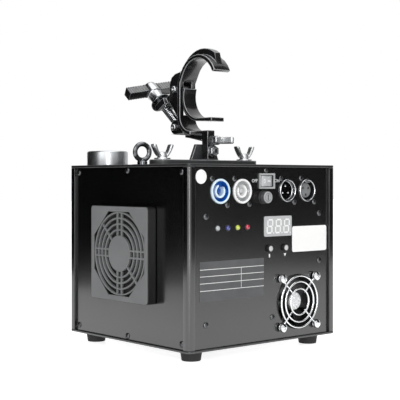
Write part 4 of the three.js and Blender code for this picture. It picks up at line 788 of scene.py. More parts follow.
# The outlet's bore, guide and lugs wear the grey that is painted shade.
power_socket("outlet", "power_outlet", outlet_place, white_nylon, outlet_inside_painted_shade, "outlet_grey", 0.35)

# %% [markdown]
# ## Signal sockets
# The three-pin signal sockets have thin nickel rims. The male one is a black bore with three
# bright pins, and the female one is filled by a grey insert with three holes and a latch over it.

# %% Signal sockets
MALE_AT, FEMALE_AT = (135.4, 153.6), (164.7, 153.6)
RIM = 11.8
PIN_CIRCLE = 4.6


def signal_bore(name, node, place):
    """The rim and the deep bore that both kinds share."""
    rim = bezel_ring(name + "_rim", RIM, RIM - 1.7, -1.9, 1.6, 0.5)
    dress_front(rim, place, nickel, "socket_metal", node)
    bore = cup(name + "_bore", RIM - 0.3, RIM - 1.6, -19, 0.9)
    dress_front(bore, place, black_nylon, "socket_metal")


def pin_place(index, start):
    """One of the three places on the pins' circle."""
    turn = math.radians(start + 120 * index)
    return (PIN_CIRCLE * math.cos(turn), PIN_CIRCLE * math.sin(turn), 0)


male_place = on_front(*MALE_AT)
signal_bore("male", "signal_plug", male_place)
step_ring = bezel_ring("male_step", RIM - 1.7, RIM - 2.7, -6, -2.2, 0.3)
dress_front(step_ring, male_place, nickel, "socket_metal")
for index in range(3):
    pin = turned(f"male_pin_{index + 1}", [(1.25, -19), (1.25, -3.6), (0.9, -2.9), (0.3, -2.6)], 20)
    settle(pin, pin_place(index, 90))
    dress_front(pin, male_place, chrome, "socket_metal")

# %% Female signal socket
female_place = on_front(*FEMALE_AT)
signal_bore("female", "signal_socket", female_place)
insert = turned("female_insert", [(7.7, -18), (7.7, -2.4), (7.2, -1.9), (0.05, -1.9)], 64)
for index in range(3):
    carve(insert, settle(turned("pin_hole", [(1.5, -14), (1.5, 2)], 20), pin_place(index, 270)))
dress_front(tidy(insert), female_place, grey_nylon, "socket_metal")
latch = block("female_latch", (6.2, 2.4, 12), (0, 9.4, -5), 0.5, 3)
dress_front(latch, female_place, nickel, "socket_metal")

# %% [markdown]
# ## Power switch
# A rocker switch clips into the panel: a grey bezel, a dark frame line round the rocker, and a
# paler rocker with a ring and a bar printed on it. The rocker is a copy of its node with rounded
# edges, so that it fits its pivot, and the marks ride on it.

# %% Power switch
SWITCH_AT = (104.9, 163.3)
switch_place = on_front(*SWITCH_AT)
bezel = plate("switch_bezel", 21.5, 15.7, 2.0, 0.8)
carve(bezel, block("switch_pocket", (18.6, 11.8, 8), (0, 0, 2), 0.3, 2))
bevel(bezel, 0.35, angle=50)
dress_front(tidy(bezel), switch_place, switch_grey, "black_plastic", "switch_housing")
well = block("switch_well", (20.0, 14.2, 12), (0, 0, -6.2), 0.4)
carve(well, block("well_pocket", (18.7, 11.9, 10), (0, 0, -3.2), 0.3, 2))
dress_front(tidy(well), switch_place, black_nylon, "black_plastic")
rocker = rounded("switch_rocker", 0.35)
fit(rocker, "rocker", rocker_grey, "black_plastic", "switch_rocker")

# %% Marks on the rocker
# The rocker's face is a shallow V, so each mark leans with its own half.
OFF_LEAN, ON_LEAN = math.radians(19.64), math.radians(4.36)
INK = 0.06
off_rim = [(2.2, -0.02), (2.2, INK), (1.35, INK), (1.35, -0.02), (2.2, -0.02)]
off_mark = turned("rocker_off_mark", off_rim, 40)
settle(off_mark, (-3.26, 0, 0.99), (0, OFF_LEAN, 0))
on_mark = plate("rocker_on_mark", 4.4, 1.1, INK, 0.2)
settle(on_mark, (4.76, 0, -0.71), (0, ON_LEAN, 0))
for mark in (off_mark, on_mark):
    stand(mark, switch_place, ACROSS_FRONT, "rocker", mark_white, "display_grey")

# %% [markdown]
# ## Fuse
# The fuse holder's cap is a knurled black knob with a pale slotted face for a coin or driver. Its
# grips are small blocks set round a turned body.

# %% Fuse
FUSE_AT = (100.0, 147.0)
GRIPS = 18
fuse_place = on_front(*FUSE_AT)
flange_profile = [(6.7, -26), (6.7, 1.2), (6.3, 1.6), (4.4, 1.6), (4.4, -12), (0.05, -12)]
flange = turned("fuse_flange", flange_profile)
dress_front(flange, fuse_place, black_nylon, "black_plastic", "fuse_holder")
knob = turned("fuse_knob", [(5.6, 2.0), (5.6, 7.0), (5.2, 7.6), (0.05, 7.6)])
grip = block("fuse_grip", (0.7, 1.0, 4.8), (0, 5.7, 4.6), 0.2)
turns = [index * math.tau / GRIPS for index in range(GRIPS)]
grips = [spin(another(grip, "fuse_grip_one"), turn) for turn in turns]
bpy.data.objects.remove(grip)
knob = joined("fuse_knob", knob, *grips)
stand(knob, fuse_place, ACROSS_FRONT, "fuse_cap", fuse_grey, "black_plastic", "fuse_cap")
face = bezel_ring("fuse_face", 5.7, 4.2, 7.0, 8.1, 0.25, 48)
stand(face, fuse_place, ACROSS_FRONT, "fuse_cap", switch_grey, "black_plastic")
centre = turned("fuse_centre", [(3.7, 7.3), (3.7, 7.8), (3.4, 8.0), (0.05, 8.0)], 40)
carve(centre, block("coin_slot", (1.7, 6.0, 6), (0, 0, 8.2), 0.1, 1))
stand(tidy(centre), fuse_place, ACROSS_FRONT, "fuse_cap", switch_grey, "black_plastic")

# %% [markdown]
# ## Buttons and lamps
# The push buttons are black with a paler face set in, and ride on their own bodies. The lamps are
# domed epoxy lenses in small black collars.

# %% Buttons
BUTTONS = {"button_1": (108.8, 95.0), "button_2": (131.0, 95.0)}
PLUNGER = [
    (5.0, -6.8), (5.0, -2.4), (3.6, -2.4), (3.6, 2.6), (3.3, 3.0), (2.9, 3.0), (2.9, 2.7),
    (0.05, 2.7),
]
for name, (across, up) in BUTTONS.items():
    place = on_front(across, up)
    plunger = turned(name + "_plunger", PLUNGER, 40)
    stand(plunger, place, ACROSS_FRONT, name, black_nylon, "black_plastic", name)
    face = turned(name + "_face", [(2.8, 2.3), (2.8, 2.7), (2.4, 2.95), (0.05, 3.0)], 40)
    stand(face, place, ACROSS_FRONT, name, pale_cap, "black_plastic")

# %% Lamps
LAMPS_UP = 117.6
LENS = [
    (3.8, -3.0), (3.8, -1.9), (2.5, -1.9), (2.5, 0.6), (2.35, 1.3), (1.9, 2.0), (1.2, 2.45),
    (0.05, 2.6),
]
LAMPS = [
    ("lamp_1", 38.5, clear_epoxy, "lamp_clear"), ("lamp_2", 52.0, blue_epoxy, "lamp_blue"),
    ("lamp_3", 64.9, lime_epoxy, "lamp_green"), ("lamp_4", 78.2, red_epoxy, "lamp_red"),
]
for name, across, material, slot in LAMPS:
    place = on_front(across, LAMPS_UP)
    lens = turned(name + "_lens", LENS, 36)
    dress_front(lens, place, material, slot, name)
    collar = bezel_ring(name + "_collar", 3.3, 2.55, 0.0, 0.5, 0.15, 36)
    dress_front(collar, place, black_nylon, "black_plastic")

# %% [markdown]
# ## Digit display
# Three seven-segment digits on a frosted grey window. Unlit, the segments are white bars that lean
# a little to the right. A bar is a flat block with narrowed ends; seven copies make a digit, and a
# dot sits at its foot.

# %% Digit display
display_place = on_front(121.0, 117.4)
window = plate("display_window", 39.4, 20.6, 1.0, 1.6)
bevel(window, 0.25, angle=50)
dress_front(tidy(window), display_place, display_face, "display_grey", "display")

# %% Digits
DIGIT_WIDE, DIGIT_TALL = 6.8, 13.2
DIGIT_COLUMNS = (-12.0, 0.0, 12.0)
LEAN = 0.16
BAR_THICK = 1.7


def segment(length):
    """A flat bar with pointed ends, lying along X."""
    bar = block("segment", (length, BAR_THICK, 0.12), (0, 0, 1.05), 0.02, 1)
    edit(bar)
    pick(lambda middle, out: abs(out.x) > 0.9)
    bpy.ops.transform.resize(value=(1, 0.35, 1), center_override=(0, 0, 0))
    return tidy(bar)


across_bar = segment(5.6)
upright_bar = spin(segment(5.7), math.pi / 2)
half_wide, half_tall = DIGIT_WIDE / 2, DIGIT_TALL / 2
bars = [(across_bar, 0, y) for y in (-half_tall, 0, half_tall)]
for x in (-half_wide, half_wide):
    bars += [(upright_bar, x, y) for y in (-half_tall / 2, half_tall / 2)]
digits = []
for column in DIGIT_COLUMNS:
    for model, x, y in bars:
        bar = another(model, "bar")
        digits.append(settle(bar, (column + x + y * LEAN, y, 0)))
    dot = turned("dot", [(0.75, 1.0), (0.75, 1.1), (0.05, 1.1)], 16)
    digits.append(settle(dot, (column + 5.3, -half_tall - 0.2, 0)))
for model in (across_bar, upright_bar):
    bpy.data.objects.remove(model)
dress_front(joined("display_digits", *digits), display_place, digit_white, "display_grey")

# %% [markdown]
# ## Labels and print
# The white label and the round seal are thin paper with rounded corners, left bare. The grey foil
# plate keeps its ruled lines and carries no words. On the paint, ON and OFF and the two key marks
# are screen printed, so they stand only a few hundredths of a millimetre proud.

# %% Labels
PAPER, FOIL = 0.25, 0.2
label = plate("white_label", 52.1, 26.6, PAPER, 2.3)
dress_front(label, on_front(168.2, 103.1), label_paper, "display_grey")
seal = turned("round_seal", [(6.9, 0.0), (6.9, 0.2), (6.8, PAPER), (0.05, PAPER)], 64)
dress_front(seal, on_front(17.6, 167.6), label_paper, "display_grey")

# %% Foil plate
FOIL_ACROSS = 58.5
RULES_UP = (78.3, 71.7, 65.0, 57.9)
foil_plate = plate("foil_plate", 85.6, 38.3, FOIL, 0.6)
dress_front(foil_plate, on_front(FOIL_ACROSS, 66.85), plate_foil, "case_paint")
rules = [plate("rule", 84.8, 0.55, INK, 0.05, (FOIL_ACROSS, up, 0)) for up in RULES_UP]
rules.append(plate("rule", 0.45, 20.4, INK, 0.05, (70.0, 68.1, 0)))
dress_front(joined("plate_rules", *rules), on_front(0, 0, FOIL), screen_print, "display_grey")

# %% Printed words and marks
LETTERS_TALL = 4.5
HALF_INK = 0.03


def printed(name, words, across, up):
    """Flat raised lettering on the connector panel, centred on a place."""
    clear_selection()
    bpy.ops.object.text_add()
    text = bpy.context.object
    text.data.body = words
    text.data.size = LETTERS_TALL * MM
    text.data.align_x = "CENTER"
    text.data.align_y = "CENTER"
    text.data.extrude = HALF_INK * MM
    only(text)
    bpy.ops.object.convert(target="MESH")
    text.name = name
    return dress_front(text, on_front(across, up, HALF_INK), screen_print, "display_grey")


printed("print_off", "OFF", 88.6, 163.5)
printed("print_on", "ON", 120.2, 163.5)
bar_mark = plate("mark_bar", 1.7, 3.8, INK, 0.3)
dress_front(bar_mark, on_front(109.3, 87.7), screen_print, "display_grey")
down_mark = spin(turned("mark_down", [(2.2, 0.0), (2.2, INK)], 3), math.radians(180))
dress_front(down_mark, on_front(131.6, 88.1), screen_print, "display_grey")

# %% [markdown]
# ## Wire finger guard
# Chromed wire: three rings, four legs welded under them, and a domed screw through the end of each
# leg. A torus is already the shape of a wire ring, so the rings are joined with their legs into
# one welded piece.

# %% Wire
WIRE = 1.0
WIRE_SIDES = 12


def wire_ring(radius, wire, up, steps=96):
    """A ring of wire, at a height."""
    clear_selection()
    bpy.ops.mesh.primitive_torus_add(
        major_radius=radius * MM, minor_radius=wire * MM, major_segments=steps,
        minor_segments=WIRE_SIDES,
    )
    return settle(bpy.context.object, (0, 0, up))


def wire_leg(start, end, up):
    """A straight wire along X between two radii, its ends rounded."""
    clear_selection()
    bpy.ops.mesh.primitive_cylinder_add(
        vertices=WIRE_SIDES, radius=WIRE * MM, depth=(end - start) * MM
    )
    leg = settle(bpy.context.object, ((start + end) / 2, 0, up), (0, math.pi / 2, 0))
    return bevel(leg, 0.3, angle=60)


print("wire", 2 * WIRE, "mm thick")

# %% Wire guard
FRONT_FAN_AT = (150.1, 38.3)
WIRE_RINGS = (26.7, 20.8, 13.5)
RINGS_UP, LEGS_UP = 3.2, 1.9
SCREW_CORNER = 25.0
corner_radius = SCREW_CORNER * math.sqrt(2)
guard_place = on_front(*FRONT_FAN_AT)
parts = [wire_ring(radius, WIRE, RINGS_UP) for radius in WIRE_RINGS]
for quarter in range(4):
    leg = wire_leg(WIRE_RINGS[2] - 1, corner_radius - 3.2, LEGS_UP)
    eyelet = settle(wire_ring(3.3, WIRE, LEGS_UP, 28), (corner_radius, 0, 0))
    parts.append(spin(joined("leg", leg, eyelet), math.radians(45 + 90 * quarter)))
guard = joined("wire_guard_welded", *parts)
dress_front(tidy(guard), guard_place, chrome, "guard_chrome", "wire_guard")

# %% Guard screws
DOME = [
    (2.0, 0.2), (2.0, 3.0), (4.6, 3.0), (4.6, 4.2), (4.1, 5.6), (2.8, 6.6), (1.0, 7.0), (0.05, 7.0)
]
big_screw = turned("guard_screw", DOME, 36)
for turn in (0, math.pi / 2):
    slot = block("slot", (4.6, 1.0, 2.4), round_edge=0.05, segments=1)
    carve(big_screw, settle(slot, (0, 0, 6.9), (0, 0, turn + 0.5)))
tidy(big_screw)
corners = [(x, y) for x in (-SCREW_CORNER, SCREW_CORNER) for y in (-SCREW_CORNER, SCREW_CORNER)]
for index, (x, y) in enumerate(corners):
    one = another(big_screw, f"guard_screw_{index + 1}")
    settle(one, (x, y, 0), (0, 0, index * 1.1))
    dress_front(one, guard_place, chrome, "guard_chrome")
bpy.data.objects.remove(big_screw)

# %% [markdown]
# ## Fans
# Each fan is a moulded frame with a round duct and a rotor of seven twisted blades. A blade is a
# thin block, cut across and twisted along its length by a modifier, then copied round the hub. The
# front fan's hub wears a foil disc with nothing printed on it, which flashes behind the wire guard.

# %% Fan wheel
BLADES = 7
BLADE_PITCH, BLADE_TWIST = math.radians(38), math.radians(26)


def fan_wheel(name, tip, hub, low, high):
    """A hub with a domed cap and a ring of twisted blades."""
    shoulder = [(hub, high - 1.2), (hub - 0.9, high - 0.3), (hub - 1.6, high)]
    centre = turned(name, [(hub, low), *shoulder, (0.05, high)])
    length = tip - hub + 1
    blade = block("blade", (length, 1.3, (high - low) * 1.05), ((hub - 1 + tip) / 2, 0, 0), 0.4)
    edit(blade)
    bpy.ops.mesh.subdivide(number_cuts=5)
    only(blade)
    twist = blade.modifiers.new("twist", "SIMPLE_DEFORM")
    twist.deform_method = "TWIST"
    twist.deform_axis = "X"
    twist.angle = BLADE_TWIST
    bpy.ops.object.modifier_apply(modifier=twist.name)
    settle(blade, (0, 0, (low + high) / 2), (BLADE_PITCH, 0, 0))
    turns = [index * math.tau / BLADES for index in range(BLADES)]
    blades = [spin(another(blade, "blade_one"), turn) for turn in turns]
    bpy.data.objects.remove(blade)
    return tidy(joined(name, centre, *blades))


print(BLADES, "blades on a wheel")

# %% Fan frame
FAN_DEEP = 25
FAN_BEHIND = 1.8


def fan_frame(name, size, bore):
    """A square frame with a smooth duct and a mouth that opens out at the front."""
    frame_block = plate(name, size, size, FAN_DEEP, 4)
    settle(frame_block, (0, 0, -FAN_DEEP))
    duct = [(bore, -FAN_DEEP - 2), (bore, -3), (bore + 0.5, -1), (bore + 1.3, 1)]
    return tidy(carve(frame_block, turned("duct", duct, 96)))


print("a fan's frame is", FAN_DEEP, "mm deep")

# %% Front fan
FRONT_BORE = 28.4
FRONT_FAN = (51.85, FRONT_FACE + FAN_BEHIND, 48.6)
# The front fan's blades and hub wear the painted sheen.
wheel = fan_wheel("front_fan_wheel", 27.2, 10.2, -20.5, -2.0)
stand(
    wheel, FRONT_FAN, ACROSS_FRONT, "front_rotor", blade_plastic_painted_sheen, "black_plastic", "front_fan_rotor"
)
foil = turned("front_fan_foil", [(8.9, -2.1), (8.9, -1.92), (0.05, -1.92)])
stand(foil, FRONT_FAN, ACROSS_FRONT, "front_rotor", hub_foil, "guard_chrome")
case_fan = fan_frame("front_fan_case", 60, FRONT_BORE)
spider = turned("front_fan_spider", [(10.2, -FAN_DEEP), (10.2, -23.2), (0.05, -23.2)], 40)
struts = []
for turn in (0, math.pi / 2):
    strut = settle(block("strut", (60, 4, 1.9)), (0, 0, -24), (0, 0, turn))
    outside_duct = [(60, -30), (60, 0), (29, 0), (29, -30), (60, -30)]
    struts.append(carve(strut, turned("outer", outside_duct, 64)))
case_fan = joined("front_fan_case", case_fan, spider, *struts)
stand(case_fan, FRONT_FAN, ACROSS_FRONT, "case", black_nylon, "black_plastic", "front_fan_frame")

# %% Side fan
SIDE_BORE = 44.4
FAN_SIDE_Y, FAN_SIDE_Z = 2.67, 100.3
SIDE_FAN = (FAN_SIDE_FACE + FAN_BEHIND, FAN_SIDE_Y, FAN_SIDE_Z)
# The side fan's blades and hub wear the painted sheen.
wheel = fan_wheel("side_fan_wheel", 43.2, 15.6, -22.5, -2.0)
stand(
    wheel, SIDE_FAN, ACROSS_FAN_SIDE, "side_rotor", blade_plastic_painted_sheen, "black_plastic", "side_fan_rotor"
)
case_fan = fan_frame("side_fan_case", 92, SIDE_BORE)
stand(case_fan, SIDE_FAN, ACROSS_FAN_SIDE, "case", black_nylon, "black_plastic", "side_fan_frame")

# %% [markdown]
# ## Panels with openings
# The two dressed panels are thin sheet with round holes. They are modelled again as plates, so
# that the fan openings and socket holes are truly round.

# %% Sheets with holes
SHEET = 1.5
# The sheet runs a little under the lid and the base, so that no light shows between them.
SHEET_OVERLAP = 0.6


def hole(radius, across, up, sides=96):
    """A rod that cuts a round hole."""
    return settle(turned("hole", [(radius, -6), (radius, 6)], sides), (across, up, 0))


def sheet_panel(name, node, width, turn, place, *holes):
    """A sheet behind its outer face, with holes measured from its middle."""
    low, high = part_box(node)
    tall = (high - low).z / MM
    sheet = plate(name, width, tall + SHEET_OVERLAP, SHEET, 0.3)
    settle(sheet, (0, 0, -SHEET))
    carve(sheet, *holes)
    return stand(tidy(sheet), place, turn, "case", powder_coat, "case_paint", node)


print("sheet", SHEET, "mm thick")

# %% Connector panel
front_low, front_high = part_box("connector_panel")
front_middle = (front_low + front_high) / 2 / MM
middle_across, middle_up = front_middle.x - CASE_LEFT, front_middle.z - CASE_FOOT
socket_holes = [(12.3, INLET_AT), (12.3, OUTLET_AT), (11.9, MALE_AT), (11.9, FEMALE_AT)]
round_holes = [
    hole(radius, across - middle_across, up - middle_up)
    for radius, (across, up) in [*socket_holes, (FRONT_BORE, FRONT_FAN_AT)]
]
small_holes = [
    hole(radius, across - middle_across, up - middle_up, 40)
    for radius, (across, up) in [(5.8, FUSE_AT), *((3.7, place) for place in BUTTONS.values())]
]
switch_hole = block("switch_hole", (20.4, 14.6, 10), round_edge=0.1, segments=1)
settle(switch_hole, (SWITCH_AT[0] - middle_across, SWITCH_AT[1] - middle_up, 0))
sheet_panel(
    "connector_sheet", "connector_panel", (front_high - front_low).x / MM, ACROSS_FRONT,
    (front_middle.x, FRONT_FACE, front_middle.z), *round_holes, switch_hole, *small_holes,
)

# %% Fan side panel
side_low, side_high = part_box("fan_side_panel")
side_middle = (side_low + side_high) / 2 / MM
sheet_panel(
    "fan_side_sheet", "fan_side_panel", (side_high - side_low).y / MM, ACROSS_FAN_SIDE,
    (FAN_SIDE_FACE, side_middle.y, side_middle.z),
    hole(SIDE_BORE, side_middle.y - FAN_SIDE_Y, FAN_SIDE_Z - side_middle.z),
)

# %% [markdown]
# ## Filter guard
# A snap-on cover of moulded plastic: a deep square rim with an eight-sided opening, and rings on
# spokes in front of the foam. The textured front is painted a lighter grey for the light that
# falls on it, and the smooth sides nearly black as painted shade, so the two get different
# finishes.

# %% Filter guard's cover
guard_centre = (FAN_SIDE_FACE, FAN_SIDE_Y, FAN_SIDE_Z)
GUARD, GUARD_DEEP = 96.0, 10.7
OPENING = 84.0
FACING_OUT = 0.9
cover = plate("guard_cover", GUARD, GUARD, GUARD_DEEP, 3.6)
corner_reach = OPENING / 2 / math.cos(math.pi / 8)
octagon = turned("octagon", [(corner_reach, -4), (corner_reach, 14)], 8)
carve(cover, spin(octagon, math.pi / 8))
bevel(cover, 0.9, 3, 50)
tidy(settle(cover, (0, 0, 0.3)))
# The sides are split off to wear the painted shade, and the front keeps the painted light.
cover_sides = another(cover, "guard_sides")
edit(cover_sides)
pick(lambda middle, out: out.z > FACING_OUT)
bpy.ops.mesh.delete(type="FACE")
stand(
    cover_sides, guard_centre, ACROSS_FAN_SIDE, "case", guard_sides_painted_shade, "black_plastic", "filter_guard"
)
edit(cover)
pick(lambda middle, out: out.z <= FACING_OUT)
bpy.ops.mesh.delete(type="FACE")
only(cover)

# %% Filter guard's grille
DISC, RING_STEP, RING_HALF = 18.2, 5.85, 0.85
SPOKE = (OPENING + 1, 1.9, 2.7)
SPOKE_UP = 8.9
parts = [cover]
for index in range(4):
    middle = DISC + (index + 1) * RING_STEP
    outer, inner = middle + RING_HALF, middle - RING_HALF
    parts.append(bezel_ring("guard_ring", outer, inner, 7.6, 10.4, 0.4, 96))
parts.append(turned("guard_disc", [(DISC, 7.6), (DISC, 10.3), (17.8, 10.6), (0.05, 10.6)], 96))
for turn in (0, math.pi / 2):
    for side in (-3.5, 3.5):
        parts.append(spin(block("spoke", SPOKE, (0, side, SPOKE_UP), 0.4), turn))
parts.append(spin(block("spoke", SPOKE, (0, 0, SPOKE_UP), 0.4), math.radians(135)))
grille = joined("guard_face", *parts)
only(grille)
bpy.ops.object.shade_smooth_by_angle(angle=SMOOTH_ANGLE)
# The front and the grille wear the painted light.
stand(grille, guard_centre, ACROSS_FAN_SIDE, "case", guard_face_painted_light, "black_plastic")

# %% [markdown]
# ## Nozzle and lifting eye
# The nozzle is a ring turned from stainless steel. A welded ring on a small collar makes the
# lifting eye: the ring is a torus, and the collar is drawn up into it as it is turned.

# %% Nozzle
LID_TOP = 190.3
SPOUT = [
    (17, -14), (17, 0), (22, 0), (22, 13.6), (21.7, 14.5), (21.0, 15.2), (20.0, 15.5), (16.2, 15.5),
    (15.4, 15.2), (15, 14.4), (15, -14), (17, -14),
]
spout = settle(turned("nozzle_ring", SPOUT, 128), (-71.25, 70.67, LID_TOP))
fit(spout, "case", stainless, "nozzle_steel", "nozzle")

# %% Lifting eye
EYE_FOOT = [(5.2, 0.3), (5.2, 3.2), (4.8, 3.8), (3.2, 4.4), (2.6, 6.2), (0.05, 6.2)]
eye_ring = settle(wire_ring(8.2, 2.5, 0, 72), (0, 0, 13.2), (math.pi / 2, 0, 0))
eye = joined("lifting_eye_ring", eye_ring, turned("eye_foot", EYE_FOOT, 40))
settle(eye, (-76.25, 2.67, LID_TOP), (0, 0, math.radians(-10)))
fit(eye, "case", dark_plate, "eye_steel", "lifting_eye")

# %% [markdown]
# ## Wing bolts and strip
# The strip has full round ends about its two bolts. A wing bolt is a turned hub with two paddles
# that curve up and out. Each paddle starts as a small flat rectangle that is extruded and narrowed
# in steps along its curve, and the second one is turned half round.

# %% Paddles
PADDLE_WIDE = 7.4


def paddles(path):
    """Two wings that follow a path of (out, up, thickness) in mm and leave at both sides."""
    pair = []
    for turn in (0, math.pi):
        clear_selection()
        out, up, thick = path[0]
        bpy.ops.mesh.primitive_plane_add(size=1)
        wing = bpy.context.object
        wing.scale = (thick * MM, PADDLE_WIDE * MM, 1)
        settle(wing, (out, 0, up))
        edit(wing)
        for next_out, next_up, next_thick in path[1:]:
            step = ((next_out - out) * MM, 0, (next_up - up) * MM)
            bpy.ops.mesh.extrude_region_move(TRANSFORM_OT_translate={"value": step})
            centre = (next_out * MM, 0, next_up * MM)
            grow = next_thick / thick
            bpy.ops.transform.resize(value=(grow, 1, 1), center_override=centre)
            out, up, thick = next_out, next_up, next_thick
        pair.append(spin(bevel(tidy(wing), 1.5, 4, 60), turn))
    return pair


print("a paddle is", PADDLE_WIDE, "mm wide")

# %% Wing bolts
WING_PATH = [
    (2.6, 8.2, 3.4), (4.8, 9.8, 3.6), (7.2, 12.6, 3.6), (9.3, 16.2, 3.8), (10.9, 19.6, 4.2),
    (11.5, 21.8, 3.6),
]
WING_HUB = [
    (3, -8), (3, 6.05), (8.7, 6.05), (8.7, 7.0), (8.3, 7.4), (5.6, 7.5), (5.0, 8.4), (4.8, 11.5),
    (4.0, 13.2), (3.0, 13.7), (0.05, 13.7),
]
STRIP_Y = -2.33
for side, x in (("left", -53.85), ("right", 63.15)):
    wings = paddles(WING_PATH)
    bolt = joined(f"wing_bolt_{side}_forged", turned("wing_hub", WING_HUB), *wings)
    settle(bolt, (x, STRIP_Y, LID_TOP))
    fit(bolt, "wing_bolt_" + side, zinc, "guard_chrome", "wing_bolt_" + side)

# %% Strip
# The strip's rounded edges wear the painted edge highlight.
strip = rounded("bracket_strip", 0.7)
fit(strip, "case", satin_enamel, "clamp_paint", "bracket_strip", edges=edge_highlight_enamel)

# %% [markdown]
# ## Clamp castings
# The clamp's body and jaw are aluminium castings under black enamel. Their nodes have the right
# outlines, so they are copied and their edges rounded as a casting's are. A grey highlight is
# painted on those rounded edges, so each draws a bright line, which is what shows the shape of a
# black casting.

# %% Clamp castings
CASTINGS = [
    ("clamp_body", 0.8, "case", cast_enamel), ("clamp_jaw", 0.7, "jaw", cast_enamel),
    ("clamp_foot", 0.6, "case", satin_enamel),
]
# Each casting's rounded edges wear the painted edge highlight.
for name, width, body, enamel in CASTINGS:
    fit(rounded(name, width), body, enamel, "clamp_paint", name, edges=edge_highlight_enamel)

# %% Riveted pins
RIVET = [
    (2.6, 0), (2.6, 10.4), (3.65, 10.4), (3.65, 11.5), (3.2, 12.2), (2.2, 12.5), (1.6, 12.5),
    (1.6, 11.4), (0.05, 11.4),
]
BOLT_PLACE = (4.75, 37.67, 232.6)
for name, y, up in (("jaw_pin", 37.17, 274.3), ("bolt_pin", *BOLT_PLACE[1:])):
    halves = [
        settle(turned("pin_half", RIVET, 32), turn=(0, side * math.pi / 2, 0)) for side in (-1, 1)
    ]
    pin = joined(name + "_riveted", *halves)
    low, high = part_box(name)
    settle(pin, ((low.x + high.x) / 2 / MM, y, up))
    fit(pin, "case", zinc, "eye_steel", name)

# %% [markdown]
# ## Swing bolt, washer and T-handle
# The bolt hangs from its pin by an eye and carries a coarse rolled thread. The thread is drawn by
# turning a saw-tooth profile, which reads as a thread at this size. The handle is a bright steel
# barrel on the thread with a black cross bar, whose grip teeth come from the node's own outline.

# %% Swing bolt
BOLT_TURN = (-math.radians(50), 0, 0)
THREAD_FOOT, THREAD_END, PITCH = 10.0, 74.0, 2.6
CREST, ROOT = 4.95, 3.9
thread = [(4.9, 9.0)]
height = THREAD_FOOT
while height < THREAD_END:
    thread += [(CREST, height), (CREST, height + 0.6), (ROOT, height + 1.3), (ROOT, height + 1.9)]
    height += PITCH
thread += [(4.9, 74.4), (4.2, 75.0), (0.05, 75.0)]
stud = turned("bolt_thread", thread, 32)
BOLT_EYE = [(2.9, -5), (7.6, -5), (8.0, -4.6), (8.0, 4.6), (7.6, 5), (2.9, 5), (2.9, -5)]
bolt_eye = settle(turned("bolt_eye", BOLT_EYE, 40), turn=(0, math.pi / 2, 0))
neck = turned("bolt_neck", [(4.6, 5.5), (4.9, 9.2)], 32)
swing = joined("swing_bolt_threaded", stud, bolt_eye, neck)
settle(swing, BOLT_PLACE, BOLT_TURN)
fit(swing, "swing_bolt", chrome, "guard_chrome", "swing_bolt")

# %% Washer
COLLAR = [
    (5.6, 42.6), (6.4, 42.6), (6.8, 43.0), (6.8, 45), (11.6, 45), (12, 45.4), (12, 46.6),
    (11.6, 47), (5.6, 47), (5.6, 42.6),
]
collar = settle(turned("washer_collar", COLLAR, 64), BOLT_PLACE, BOLT_TURN)
fit(collar, "washer", dark_plate, "guard_chrome", "thrust_washer")

# %% T-handle
# The bar's rounded edges wear the painted edge highlight.
bar = rounded("t_handle", 0.25, 2, "handle_bar")
fit(bar, "handle", cast_enamel, "clamp_paint", "t_handle", edges=edge_highlight_enamel)
BARREL = [
    (5.4, 47.4), (7.2, 47.4), (7.7, 47.9), (7.7, 60.6), (7.9, 61.0), (8.7, 61.6), (8.8, 62.2),
    (8.8, 73.6), (8.4, 74.8), (7.6, 75.6), (5.6, 75.6), (5.4, 75.2), (5.4, 47.4),
]
barrel = settle(turned("handle_barrel", BARREL, 64), BOLT_PLACE, BOLT_TURN)
fit(barrel, "handle", nickel, "guard_chrome")

# %% [markdown]
# ## Foot bolt and wing screw
# The leg is held by a hex nut on a washer, and by a zinc-plated wing screw whose paddles sweep
# forward. Both are turned bodies; the nut is turned with six sides and its corners are chamfered.

# %% Foot bolt
FOOT_NUT = [(5.9, 0), (5.9, 4.7), (5.3, 5.2), (3.3, 5.25), (3.0, 4.9), (2.9, 5.3), (0.05, 5.3)]
nut = turned("foot_nut", FOOT_NUT, 6)
bpy.ops.object.shade_flat()
nut_washer = turned("foot_nut_washer", [(5.95, -1.15), (5.95, 0), (5.8, 0.1), (0.05, 0.1)], 40)
for piece in (nut, nut_washer):
    stand(piece, (4.75, -14.43, 205.7), ACROSS_FRONT, "case", zinc, "guard_chrome")

# %% Wing screw
SCREW_WINGS = [
    (2.6, 16.6, 3.4), (5.0, 17.8, 3.5), (7.6, 20.6, 3.6), (9.6, 25.0, 3.8), (11.0, 29.4, 4.2),
    (11.5, 31.8, 3.6),
]
SCREW_HUB = [
    (3.9, 0), (3.9, 10.1), (4.9, 10.3), (5.0, 11.4), (5.0, 19.5), (4.4, 21.6), (3.4, 22.5),
    (0.05, 22.5),
]
wings = paddles(SCREW_WINGS)
thumb = joined("wing_screw_forged", turned("screw_hub", SCREW_HUB, 40), *wings)
settle(thumb, (4.75, -3.43, 216.8), ACROSS_FRONT)
fit(thumb, "wing_screw", zinc, "guard_chrome", "wing_screw")

# %% [markdown]
# ## Floor and light
# A product photograph of this kind stands on a white sweep under large soft lamps. Floor and
# background are brighter for the camera, and for rays that come off metal or glass, than for the
# rays that carry light, so they look white and add little light of their own. Light Path tells one
# kind of ray from another, and a chain of Maximum nodes says whether it is any of those three.

# %% Rays that see the backdrop
SEEING_RAYS = ("Is Camera Ray", "Is Glossy Ray", "Is Transmission Ray")


def ray_sees(tree):
    """A socket that is 1 for rays of the camera, off shiny surfaces or through glass."""
    rays = add(tree, "ShaderNodeLightPath").outputs
    seen = rays[SEEING_RAYS[0]]
    for kind in SEEING_RAYS[1:]:
        links = {0: seen, 1: rays[kind]}
        seen = add(tree, "ShaderNodeMath", {"operation": "MAXIMUM"}, links).outputs[0]
    return seen


print("white for", SEEING_RAYS)

